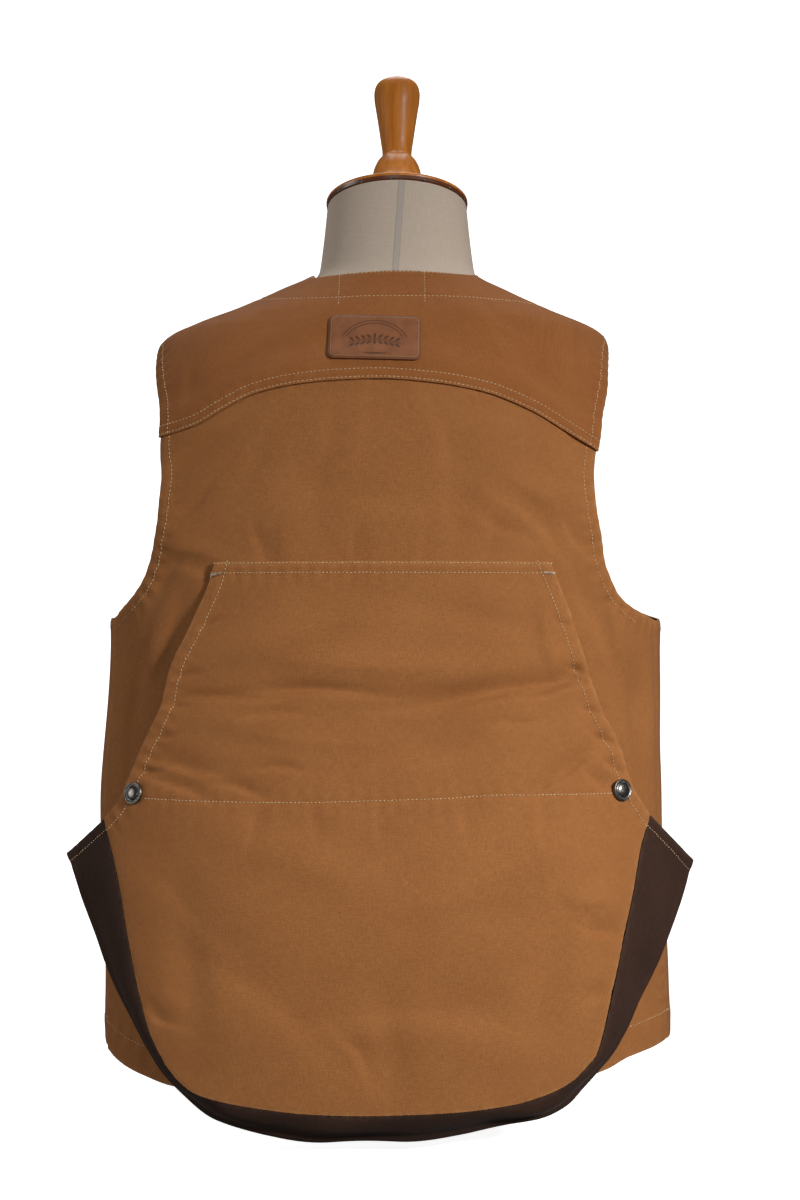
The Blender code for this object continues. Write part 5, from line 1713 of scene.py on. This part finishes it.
@dataclass
class GameBag:
    """The bag's outer panel and the brown gusset that folds round its bottom."""

    shop: Workshop
    cols: int = 241
    low_rows: int = 111
    high_rows: int = 131
    side_rows: int = 15
    round_rows: int = 8
    fold_round: float = 0.006
    edge_width: float = 0.0098
    wing_width: float = 0.0085
    close_stitch: Pair = (0.0029, 0.0021)
    middle_row: tuple[Pair, ...] = (
        (0.185, 0.2517), (0.1222, 0.2511), (0.0755, 0.2511), (0.0122, 0.2528), (-0.0381, 0.2543),
        (-0.0721, 0.2562), (-0.1575, 0.2556),
    )
    tacks: tuple[tuple[float, float, float, float], ...] = (
        (0.1372, 0.4156, 0.1296, 0.4176), (-0.108, 0.418, -0.1158, 0.4172),
    )
    tack_turns: int = 34
    tack_half: float = 0.00085
    tack_lift: float = 0.0006
    tack_thread: float = 0.00028
    flat_bag: Pair = (0.44, 0.42)
    area_bag: float = 0.138
    flat_gusset: Pair = (0.72, 0.095)
    area_gusset: float = 0.048

    def grid(self) -> Array:
        """The bag panel's (angle, z) grid."""
        on_back = self.shop.shape.on_back
        left = joined(
            path(on_back(BAG_LEFT_SEAM[::-1], True), self.low_rows),
            path(on_back(BAG_LEFT_EDGE[::-1], True), self.high_rows),
        )
        right = joined(
            path(on_back(BAG_RIGHT_SEAM, True), self.low_rows),
            path(on_back(BAG_RIGHT_EDGE[::-1], True), self.high_rows),
        )
        bottom = path(on_back(BAG_BOTTOM_SEAM, True), self.cols)
        top = path([left[-1], (math.pi / 2, BAG_LEFT_EDGE[0][1]), right[-1]], self.cols)
        return evened(between(bottom, top, left, right), 120)

    def seam_loop(self) -> list[tuple[int, int]]:
        """Row and column indices of the panel's seam to the gusset, left wing to right."""
        down = [(r, 0) for r in range(self.low_rows - 1, 0, -1)]
        across = [(0, c) for c in range(self.cols)]
        up = [(r, self.cols - 1) for r in range(1, self.low_rows)]
        return down + across + up

    def gusset(self, seam: Array) -> Array:
        """The gusset's strip: rows run along the bag, from its seam over the fold to the back."""
        shop = self.shop
        count = len(seam)
        fold = path(GUSSET_FOLD, count, (1.0, 1.0, 1.0))
        attach, away = shop.shape.skin(path(shop.shape.on_back(GUSSET_ATTACH), count))
        attach = attach + away * (shop.cloth + shop.edges.seam_gap)
        out_dir = unit(fold - seam)
        in_dir = unit(fold - attach)
        near_out = fold - out_dir * self.fold_round
        near_in = fold - in_dir * self.fold_round
        tip = 2 * (fold + unit(out_dir + in_dir) * 0.0005) - 0.5 * (near_out + near_in)
        rows = []
        for share in np.linspace(0, 1, self.side_rows)[:-1]:
            rows.append(seam + (near_out - seam) * share + self.bulge(seam, fold, share))
        for t in np.linspace(0, 1, self.round_rows):
            rows.append((1 - t) ** 2 * near_out + 2 * t * (1 - t) * tip + t**2 * near_in)
        for share in np.linspace(1, 0, self.side_rows)[1:]:
            rows.append(attach + (near_in - attach) * share)
        return np.array(rows)

    @staticmethod
    def bulge(start: Array, end: Array, share: float) -> Array:
        """A soft outward belly between two edges of the gusset, with a few small drapes."""
        way = end - start
        side = unit(np.cross(way, np.gradient(start, axis=0)))
        run = np.linspace(0, 1, len(start))[:, None]
        ends = ease(run / 0.12) * ease((1 - run) / 0.12)
        drapes = 1 + 0.35 * np.sin(run * 41 + 1.1 * np.sin(run * 17))
        size = 0.08 * np.linalg.norm(way, axis=1, keepdims=True) * math.sin(math.pi * share)
        return side * size * ends * drapes

    def build(self) -> None:
        """Makes the bag's panel, the gusset, their stitches and the bartacks."""
        shop = self.shop
        points, normals = shop.shape.skin(self.grid(), True)
        loop = self.seam_loop()
        seam = np.array([points[r, c] for r, c in loop])
        strip = self.gusset(seam)
        strip_normals = grid_normals(strip)
        if (strip_normals[1] * np.array([normals[r, c] for r, c in loop])).sum() < 0:
            strip_normals = -strip_normals
        into_strip = unit(strip[1] - strip[0])
        for i, (r, c) in enumerate(loop):
            shared = unit(normals[r, c] + strip_normals[0, i])
            normals[r, c] = shared
            strip_normals[0, i] = shared
            across = unit(into_strip[i] - shared * float(into_strip[i] @ shared))
            points[r, c] = points[r, c] - across * shop.edges.seam_gap
            strip[0, i] = strip[0, i] + across * shop.edges.seam_gap
        self.build_panel(points, normals)
        self.build_gusset(strip, strip_normals)

    def build_panel(self, points: Array, normals: Array) -> None:
        """Makes the bag's outer panel."""
        shop = self.shop
        share = (self.low_rows - 1) / (self.low_rows + self.high_rows - 2)
        bands = (
            Band(Side.LEFT, (self.edge_width,), share, 1.0, rise=0.0007, pucker=0.0004),
            Band(Side.RIGHT, (self.edge_width,), share, 1.0, rise=0.0007, pucker=0.0004),
            Band(Side.TOP, (0.0014, 0.0086), rise=0.0003, pucker=0.0003),
        )
        places = path([(x, z) for x, z in self.middle_row], 200, (1.0, 1.0))
        angle = shop.shape.angle_at_x(places[:, 0], places[:, 1], True)
        row = shop.shape.surface(angle, places[:, 1], True)
        panel = Panel("cloth_bag_panel", points, normals, BAG_CREASES, bands, [row])
        made = settle(shop.shells.make(panel), Slot.TAN, shop.finishes.tan, "bag_panel")
        sewn = shop.sew(panel, "stitches_bag", Slot.TAN, [panel.on_cloth(row)], *self.close_stitch)
        tacks = self.build_tacks(panel)

    def build_tacks(self, panel: Panel) -> Item:
        """Makes the dense zigzag bartacks at the ends of the bag's lower top row."""
        shop = self.shop
        count = self.tack_turns
        lines = []
        for x0, z0, x1, z1 in self.tacks:
            share = np.linspace(0, 1, count)
            x = x0 + (x1 - x0) * share
            z = z0 + (z1 - z0) * share + self.tack_half * np.where(np.arange(count) % 2, 1, -1)
            angle = shop.shape.angle_at_x(x, z, True)
            place, normals = shop.shape.skin(np.stack([angle, z], axis=1), True)
            lines.append(panel.on_cloth(place + normals * self.tack_lift))
        guide = curve_object("bartack_guide", lines, self.tack_thread)
        return settle(made_real(guide, "bartacks"), Slot.TAN, shop.finishes.tack)

    def build_gusset(self, strip: Array, normals: Array) -> None:
        """Makes the gusset and the stitches of its two wing hems."""
        shop = self.shop
        bands = (
            Band(Side.LEFT, (self.wing_width,), rise=0.0004, pucker=0.0003),
            Band(Side.RIGHT, (self.wing_width,), rise=0.0004, pucker=0.0003),
        )
        strip, normals = odd_rows(strip), odd_rows(normals)
        panel = Panel("cloth_bag_gusset", strip, normals, Creases(()), bands, roll=0.0003, waves=0.0004)
        made = settle(shop.shells.make(panel), Slot.BROWN, shop.finishes.brown, "bag_gusset")
        sewn = shop.sew(panel, "stitches_gusset", Slot.BROWN, (), *self.close_stitch)


@dataclass
class Patch:
    """The leather patch on the yoke, with a plain pressed ornament and a sewn border."""

    shop: Workshop
    yoke: Yoke
    width: float = 0.0685
    height: float = 0.0360
    corner: float = 0.0055
    thick: float = 0.0018
    stand: float = 0.00051
    centre: Pair = (0.0166, 0.5926)
    tilt: float = math.radians(1.5)
    cols: int = 161
    rows: int = 85
    border: float = 0.0019
    border_sink: float = 0.00002
    edge_crowding: float = 0.94
    edge_drop: float = 0.00090
    edge_run: float = 0.0012
    burnish_run: float = 0.0011
    groove_half: float = 0.0007
    press: float = 0.00022
    stitch: Triple = (0.0022, 0.0016, 0.00026)
    ornament: float = 1.18
    arcs: Pair = (0.0225, 0.0203)
    arc_drop: float = 0.0085
    arc_squash: float = 1.15
    arc_half: float = 0.00042
    arc_low: float = 0.0005
    stem_drop: float = 0.0032
    stem_wave: float = 0.0016
    stem_run: float = 0.007
    stem_half: float = 0.00040
    stem_reach: float = 0.0165
    leaves: int = 4
    leaf_gap: float = 0.0021
    leaf_pitch: float = 0.0036
    leaf_size: Pair = (0.00085, 0.00190)
    leaf_lean: float = 0.9
    bar_size: Pair = (0.0072, 0.00055)
    bar_drop: float = 0.0118

    def outline_reach(self, step: Array) -> Array:
        """Half the patch's width at a height above its lower edge, its corners rounded."""
        near = np.minimum(step, self.height - step)
        cut = np.maximum(self.corner - near, 0.0)
        return self.width / 2 - self.corner + np.sqrt(np.maximum(self.corner**2 - cut**2, 0.0))

    def on_yoke(self, u: Array, v: Array, out: float) -> tuple[Array, Array]:
        """Points and normals at places across and up from the patch's middle."""
        x = self.centre[0] + u * math.cos(self.tilt) - v * math.sin(self.tilt)
        z = self.centre[1] + v * math.cos(self.tilt) + u * math.sin(self.tilt)
        angle = self.shop.shape.angle_at_x(x, z)
        return self.yoke.place(np.stack([angle, z], axis=-1), out)

    def stamp(self, u: Array, v: Array) -> Array:
        """How deep the pressed ornament is at each place: two arcs, a row of leaves and a bar."""
        total = np.zeros(u.shape)
        for radius in self.arcs:
            ring = np.hypot(u, (v + self.arc_drop) * self.arc_squash)
            total = np.maximum(total, np.exp(-(((ring - radius) / self.arc_half) ** 2)) * (v > self.arc_low))
        off = v + self.stem_drop - self.stem_wave * np.cos(u / self.stem_run)
        stem = np.exp(-((off / self.stem_half) ** 2)) * (np.abs(u) < self.stem_reach)
        total = np.maximum(total, stem)
        for k in range(-self.leaves, self.leaves + 1):
            mid_u = self.leaf_pitch * k
            stem_v = -self.stem_drop + self.stem_wave * math.cos(mid_u / self.stem_run)
            for side in (-1, 1):
                mid_v = stem_v + side * self.leaf_gap
                lean = -side * self.leaf_lean * np.sign(k)
                a = (u - mid_u) * math.cos(lean) + (v - mid_v) * math.sin(lean)
                b = (v - mid_v) * math.cos(lean) - (u - mid_u) * math.sin(lean)
                leaf = 1 - ease((np.hypot(a / self.leaf_size[0], b / self.leaf_size[1]) - 0.75) / 0.5)
                total = np.maximum(total, leaf)
        bar = np.hypot(u / self.bar_size[0], (v + self.bar_drop) / self.bar_size[1])
        bar = 1 - ease((bar - 0.85) / 0.4)
        return np.maximum(total, bar)

    def build(self) -> None:
        """Makes the patch and its border of stitches."""
        shop = self.shop
        step = self.height * (0.5 - 0.5 * np.cos(np.linspace(0, math.pi, self.rows)))
        reach = self.outline_reach(step)
        turns = np.linspace(-1, 1, self.cols) * math.pi / 2 * self.edge_crowding
        across = np.sin(turns) / math.sin(turns[-1])
        u = across[None, :] * reach[:, None]
        v = np.broadcast_to((step - self.height / 2)[:, None], u.shape)
        points, normals = self.on_yoke(u, v, self.thick + self.stand)
        apart = self.inset(u, v)
        stamp = self.stamp(u / self.ornament, v / self.ornament)
        groove = np.exp(-(((apart - self.border) / self.groove_half) ** 2))
        drop = self.edge_drop * np.exp(-((apart / self.edge_run) ** 2))
        offset = -drop - self.press * groove - self.press * stamp
        edge = np.exp(-((apart / self.burnish_run) ** 2))
        skin = Skin("leather_patch_fine", points + normals * offset[..., None], normals, groove, edge)
        made = shop.shells.make(skin, self.thick - 0.0003)
        set_attribute(made, "stamp", shop.shells.both(stamp))
        settle(made, Slot.LEATHER, shop.finishes.leather, "leather_patch")
        sewn = shop.stitches.lay("stitches_patch", [self.border_line()], shop.finishes.border, *self.stitch)
        settle(sewn, Slot.LEATHER, shop.finishes.border)

    def inset(self, u: Array, v: Array) -> Array:
        """How far inside the rounded outline each place is."""
        over_u = np.abs(u) - (self.width / 2 - self.corner)
        over_v = np.abs(v) - (self.height / 2 - self.corner)
        outside = np.hypot(np.maximum(over_u, 0), np.maximum(over_v, 0))
        return self.corner - outside - np.minimum(np.maximum(over_u, over_v), 0)

    def border_line(self) -> Array:
        """The border's stitch row, a rounded rectangle inside the edge."""
        half_w = self.width / 2 - self.border
        half_h = self.height / 2 - self.border
        turn = max(self.corner - self.border, 0.0008)
        corners = ((1, -1, -90), (1, 1, 0), (-1, 1, 90), (-1, -1, 180))
        u, v = [], []
        for side_u, side_v, start in corners:
            for degrees in np.linspace(start, start + 90, 5):
                u.append(side_u * (half_w - turn) + turn * math.cos(math.radians(degrees)))
                v.append(side_v * (half_h - turn) + turn * math.sin(math.radians(degrees)))
        line = np.array([u + u[:1], v + v[:1], [0.0] * (len(u) + 1)]).T
        fine, _ = samples_along(line, 0.0008)
        points, _ = self.on_yoke(fine[:, 0], fine[:, 1], self.thick + self.stand - self.border_sink)
        return points


@dataclass
class PressStuds:
    """The domed press studs: two at the bag's corners and a row down the front."""

    shop: Workshop
    radius: float = 0.0083
    lift: float = 0.0004
    height: float = 0.0036
    bag_places: tuple[tuple[str, float, float], ...] = (
        ("bag_snap_left", 0.1937, 0.2551),
        ("bag_snap_right", -0.1653, 0.2574),
    )
    front_count: int = 5
    front_top: float = 0.462
    front_pitch: float = 0.088
    beads: int = 26
    bead_ring: float = 0.0060
    bead_radius: float = 0.00052
    bead_level: float = 0.60
    steps: int = 56
    profile: tuple[Pair, ...] = (
        (0.0, 0.98), (0.0012, 0.975), (0.0026, 0.93), (0.0038, 0.85), (0.0046, 0.76), (0.005, 0.68),
        (0.0052, 0.62), (0.006, 0.6), (0.0067, 0.62), (0.007, 0.7), (0.0074, 0.74), (0.0079, 0.66),
        (0.0082, 0.46), (0.0083, 0.25), (0.0081, 0.08), (0.0076, 0.0), (0.0, 0.0),
    )

    def cap(self) -> tuple[Array, Faces]:
        """Points and faces of a stud that lies flat at the origin."""
        points, faces = lathe([(r, h * self.height) for r, h in self.profile], self.steps)
        ball, ball_faces = bead(self.bead_radius, self.bead_radius, 6, 8)
        for k in range(self.beads):
            turn = 2 * math.pi * k / self.beads
            ring = self.bead_ring
            middle = np.array([ring * math.cos(turn), ring * math.sin(turn), self.bead_level * self.height])
            points, faces = merged(points, faces, ball + middle, ball_faces)
        return points, faces

    def build(self) -> None:
        """Makes every stud."""
        shape = self.shop.shape
        for name, x, z in self.bag_places:
            angle = shape.angle_at_x(np.float64(x), np.float64(z), True)
            self.put(name, shape.surface(angle, z, True), shape.outward(angle, z, True))
        for i in range(self.front_count):
            z = self.front_top - i * self.front_pitch
            angle = np.float64(-math.pi / 2)
            normal = shape.outward(angle, z)
            self.put(f"front_snap_{i + 1}", shape.surface(angle, z) + normal * self.shop.lap_rise, normal)

    def put(self, node: str, point: Array, normal: Array) -> None:
        """Makes one stud on the cloth at a point."""
        along = unit(np.cross((0.0, 0.0, 1.0), normal))
        up = np.cross(normal, along)
        local, faces = self.cap()
        points = point + local[:, :1] * along + local[:, 1:2] * up + (local[:, 2:] + self.lift) * normal
        made = add_mesh("stud_" + node, points, faces)
        made.data.set_sharp_from_angle(angle=math.radians(60))
        settle(made, Slot.METAL, self.shop.finishes.metal, node)


def lathe(profile: Rows, steps: int) -> tuple[Array, Faces]:
    """Points and faces of a turned solid.

    Args:
        profile: (radius, height) points from the top of its axis, down its outer side, to its axis below.
        steps: How many sides it has.

    Returns:
        The points and the faces, facing outwards.
    """
    rings = [p for p in profile if p[0] > 1e-7]
    turn = np.linspace(0, 2 * math.pi, steps, endpoint=False)
    points = [(r * math.cos(a), r * math.sin(a), h) for r, h in rings for a in turn]
    top, low = len(points), len(points) + 1
    points += [(0.0, 0.0, profile[0][1]), (0.0, 0.0, profile[-1][1])]
    faces = []
    for k in range(steps):
        after = (k + 1) % steps
        faces.append([top, k, after])
        last = (len(rings) - 1) * steps
        faces.append([low, last + after, last + k])
        for r in range(len(rings) - 1):
            a, b = r * steps + k, r * steps + after
            faces.append([a, a + steps, b + steps, b])
    return np.array(points), faces


def bead(radius: float, height: float, rings: int, steps: int) -> tuple[Array, Faces]:
    """Points and faces of a small bead round the origin."""
    turns = np.linspace(0, math.pi, rings)
    return lathe([(radius * math.sin(a), height * math.cos(a)) for a in turns], steps)


def merged(points: Array, faces: Faces, more: Array, more_faces: Faces) -> tuple[Array, Faces]:
    """The points and faces of two parts as one mesh's."""
    start = len(points)
    return np.concatenate([points, more]), faces + [[i + start for i in face] for face in more_faces]


@dataclass
class DressForm:
    """The linen torso with its wooden neck cap, knob, tacks and foot."""

    shop: Workshop
    around: int = 180
    levels: int = 150
    tilt: float = math.radians(11.0)
    tilt_from: float = 0.664
    cap_radius: float = 0.0565
    cap_thick: float = 0.0048
    cap_extra: float = 0.0017
    cap_z: float = 0.7135
    seam_gap: float = 0.0003
    knob_height: float = 0.1063
    knob_outline: tuple[Pair, ...] = (
        (0.0002, 0.0012), (0.009, 0.0018), (0.0134, 0.0031), (0.0166, 0.0054), (0.0179, 0.0084),
        (0.0185, 0.0125), (0.0182, 0.018), (0.0169, 0.0268), (0.0149, 0.04), (0.0131, 0.053),
        (0.012, 0.061), (0.0117, 0.0652), (0.0123, 0.0672), (0.0138, 0.069), (0.0155, 0.0713),
        (0.017, 0.0742), (0.0183, 0.0775), (0.0194, 0.082), (0.0212, 0.088), (0.024, 0.094),
        (0.028, 0.099),
    )
    foot_half_width: float = 0.105
    foot_depth: float = 0.78
    foot_top: float = 0.0625
    tack_count: int = 14
    tack_size: Pair = (0.0011, 0.0007)
    tack_inset: float = 0.0006
    tack_height: float = 0.0009

    def build(self) -> None:
        """Makes every piece of the form."""
        self.build_torso()
        self.build_cap()
        self.build_knob()
        self.build_foot()
        self.build_tacks()

    def ring(self, z: float) -> Array:
        """One ring of the torso; those of the neck tilt up to the cap's slope."""
        angle = np.linspace(0, 2 * math.pi, self.around, endpoint=False)
        width, back, front, centre, power = (float(FORM.at(name, z)) for name in SECTION_COLUMNS[1:])
        reach = section_reach(angle, width, back, front, power)
        y = reach * np.sin(angle)
        share = ease((z - self.tilt_from) / (FORM.rows[-1][0] - self.tilt_from))
        return np.stack([centre + reach * np.cos(angle), y, z + y * math.tan(self.tilt) * share], axis=1)

    def build_torso(self) -> None:
        """Makes the linen torso."""
        heights = np.linspace(FORM.rows[0][0], FORM.rows[-1][0], self.levels)
        rings = np.array([self.ring(z) for z in heights])
        count = self.around
        points = list(rings.reshape(-1, 3)) + [rings[0].mean(axis=0), rings[-1].mean(axis=0)]
        low, high = self.levels * count, self.levels * count + 1
        faces = []
        for k in range(count):
            after = (k + 1) % count
            faces.append([low, after, k])
            faces.append([high, (self.levels - 1) * count + k, (self.levels - 1) * count + after])
            for r in range(self.levels - 1):
                a, b = r * count + k, r * count + after
                faces.append([a, b, b + count, a + count])
        flat = np.array(points)
        made = add_mesh("linen_torso", flat, faces)
        set_uv(made, np.stack([np.arctan2(flat[:, 1], flat[:, 0]) * 0.06, flat[:, 2]], axis=1))
        made.data.set_sharp_from_angle(angle=math.radians(50))
        settle(made, Slot.LINEN, self.shop.finishes.linen, "form_torso")

    def tilted(self, points: Array, out: float) -> Array:
        """Points of the cap's own frame, raised along its axis and put in their place."""
        y, z = points[:, 1], points[:, 2] + out
        turned_y = y * math.cos(self.tilt) - z * math.sin(self.tilt)
        turned_z = y * math.sin(self.tilt) + z * math.cos(self.tilt)
        return np.stack([points[:, 0], turned_y, turned_z + self.cap_z], axis=1)

    def wooden(self, name: str, points: Array, faces: Faces, node: str, painted_rim_shade: Array | None = None) -> None:
        """Makes one wooden piece, with painted shade on the points given as shaded."""
        made = add_mesh(name, points, faces)
        set_attribute(made, "painted_rim_shade", np.zeros(len(points)) if painted_rim_shade is None else painted_rim_shade.astype(float))
        made.data.set_sharp_from_angle(angle=math.radians(60))
        settle(made, Slot.WOOD, self.shop.finishes.wood, node)

    def build_cap(self) -> None:
        """Makes the neck cap, a disc with a rounded upper edge and a lower edge painted dark as the shade
        under its rim.
        """
        r, h = self.cap_radius, self.cap_thick + self.cap_extra - self.seam_gap
        profile = [(0.0, h), (r * 0.55, h), (r * 0.80, h - 0.0001), (r - 0.0028, h - 0.0004)]
        soft = 0.0014
        for turn in np.linspace(0.3, 1.57, 6):
            profile.append((r - soft + soft * math.sin(turn), h - 0.0018 + soft * math.cos(turn)))
        profile += [(r, h * 0.52), (r - 0.0003, h * 0.47), (r - 0.0004, 0.0008)]
        profile += [(r - 0.0012, 0.0), (0.0, 0.0)]
        points, faces = lathe(profile, 120)
        # the lower half of the cap's rim gets painted shade
        self.wooden("wood_cap", self.tilted(points, 0.0), faces, "form_cap", points[:, 2] < h * 0.50)

    def build_knob(self) -> None:
        """Makes the turned knob."""
        h = self.knob_height
        outline = [(r, h - drop) for r, drop in self.knob_outline] + [(0.0300, self.cap_extra)]
        fine = path(outline, 110, (1.0, 1.0))
        profile = [(0.0, h - 0.0012), *map(tuple, fine), (0.0, self.cap_extra)]
        points, faces = lathe(profile, 96)
        self.wooden("wood_knob", self.tilted(points, self.cap_thick + self.seam_gap), faces, "form_knob")

    def build_foot(self) -> None:
        """Makes the foot under the torso."""
        w, top = self.foot_half_width, self.foot_top
        profile = [(0.0, top), (0.060, top), (0.0615, top - 0.0006), (0.062, top - 0.002), (0.062, 0.030)]
        profile += [(0.064, 0.0265), (0.070, 0.024), (w - 0.008, 0.020), (w - 0.004, 0.0185)]
        profile += [(w - 0.0015, 0.0155), (w, 0.011), (w, 0.002), (w - 0.0006, 0.0006)]
        profile += [(w - 0.002, 0.0), (0.0, 0.0)]
        points, faces = lathe(profile, 140)
        self.wooden("wood_foot", points * np.array([1.0, self.foot_depth, 1.0]), faces, "form_foot")

    def build_tacks(self) -> None:
        """Makes the small tacks that hold the linen under the cap's rim."""
        points, faces = np.zeros((0, 3)), []
        ball, ball_faces = bead(*self.tack_size, 7, 10)
        for k in range(self.tack_count):
            turn = 2 * math.pi * (k + 0.35) / self.tack_count
            spot = np.array([math.cos(turn), math.sin(turn), 0.0])
            side = np.array([-math.sin(turn), math.cos(turn), 0.0])
            place = ball[:, :1] * side + ball[:, 1:2] * np.array([0.0, 0.0, 1.0]) + ball[:, 2:] * spot
            spot_points = self.tilted(place + spot * (self.cap_radius - self.tack_inset), self.tack_height)
            points, faces = merged(points, faces, spot_points, ball_faces)
        made = add_mesh("cap_tacks", points, faces)
        settle(made, Slot.METAL, self.shop.finishes.metal)


# The studio


@dataclass(frozen=True)
class Lamp:
    """A square soft light that faces a point."""

    name: str
    at: Triple
    to: Triple
    size: float
    power: float
    spread: float = math.pi

    def build(self) -> None:
        """Makes the light."""
        data = bpy.data.lights.new(self.name, "AREA")
        data.shape = "SQUARE"
        data.size = self.size
        data.energy = self.power
        data.spread = self.spread
        made = linked(self.name, data)
        made.location = self.at
        way = Vector(self.to) - Vector(self.at)
        made.rotation_euler = way.to_track_quat("-Z", "Y").to_euler()


@dataclass
class Studio:
    """The pale floor and backdrop, the soft light and the camera at the photograph's angle."""

    camera_at: Triple = (0.0, 1.5, 0.361)
    lens: float = 56.25
    shift: Pair = (0.0025, 0.041667)
    world: float = 0.07
    lamps: tuple[Lamp, ...] = (
        Lamp("key", (-1.30, 1.62, 1.06), (0.0, 0.1, 0.12), 0.35, 4.8, math.radians(58.0)),
        Lamp("fill", (0.2, 2.4, 0.42), (0.0, 0.1, 0.30), 0.8, 3.9),
        Lamp("side", (2.1, 0.50, 0.55), (0.0, 0.0, 0.42), 0.8, 11.5),
        Lamp("floor_light", (0.0, -0.6, 2.6), (0.0, -0.8, 0.0), 1.6, 30.0),
    )
    floor_half: float = 4.0
    wall_y: float = -1.9
    wall_round: float = 0.9
    wall_height: float = 4.0

    def build(self) -> None:
        """Makes the whole studio."""
        self.build_floor()
        self.build_camera()
        self.build_lights()
        scene = bpy.context.scene
        scene.view_settings.view_transform = "Standard"

    def build_floor(self) -> None:
        """Makes the floor, which curves up into the backdrop."""
        profile = [(4.0, 0.0), (1.0, 0.0), (0.0, 0.0), (self.wall_y + self.wall_round, 0.0)]
        for turn in np.linspace(0, math.pi / 2, 14)[1:]:
            y = self.wall_y + self.wall_round * (1 - math.sin(turn))
            profile.append((y, self.wall_round * (1 - math.cos(turn))))
        profile.append((self.wall_y, self.wall_height))
        points = [(x, y, z - 0.0004) for y, z in profile for x in (self.floor_half, -self.floor_half)]
        faces = [[2 * i, 2 * i + 1, 2 * i + 3, 2 * i + 2] for i in range(len(profile) - 1)]
        made = add_mesh("studio_floor", np.array(points), [face[::-1] for face in faces])
        made.data.materials.append(PaperFinish().build())
        made.visible_diffuse = False
        made.visible_glossy = False
        made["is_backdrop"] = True

    def build_camera(self) -> None:
        """Puts the camera where the photograph was taken from."""
        data = bpy.data.cameras.new("photo_camera")
        data.sensor_width = 36.0
        data.lens = self.lens
        data.shift_x, data.shift_y = self.shift
        made = linked("photo_camera", data)
        made.location = self.camera_at
        made.rotation_euler = (math.pi / 2, 0.0, math.pi)
        bpy.context.scene.camera = made

    def build_lights(self) -> None:
        """Makes the sky, the key from the image's right and the fills."""
        world = bpy.data.worlds.new("studio_world")
        world.use_nodes = True
        sky = world.node_tree.nodes["Background"]
        sky.inputs["Color"].default_value = (1.0, 1.0, 1.0, 1.0)
        sky.inputs["Strength"].default_value = self.world
        bpy.context.scene.world = world
        for lamp in self.lamps:
            lamp.build()


def main(cad_box: tuple[Vector, Vector]) -> None:
    """Builds the vest, its form and the studio around it."""
    logging.basicConfig(level=logging.INFO)
    shape = VestShape()
    shop = Workshop(shape, Edges(shape), Finishes.build(), ShellMaker(), StitchTree())
    DressForm(shop).build()
    LOG.info("form done")
    Back(shop).build()
    Front(shop, True).build()
    Front(shop, False).build()
    LOG.info("back and fronts done")
    yoke = Yoke(shop)
    yoke.build()
    GameBag(shop).build()
    Patch(shop, yoke).build()
    PressStuds(shop).build()
    LOG.info("yoke, bag, patch and studs done")
    Studio().build()
    bpy.context.view_layer.update()


if __name__ == "__main__":
    main(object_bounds())
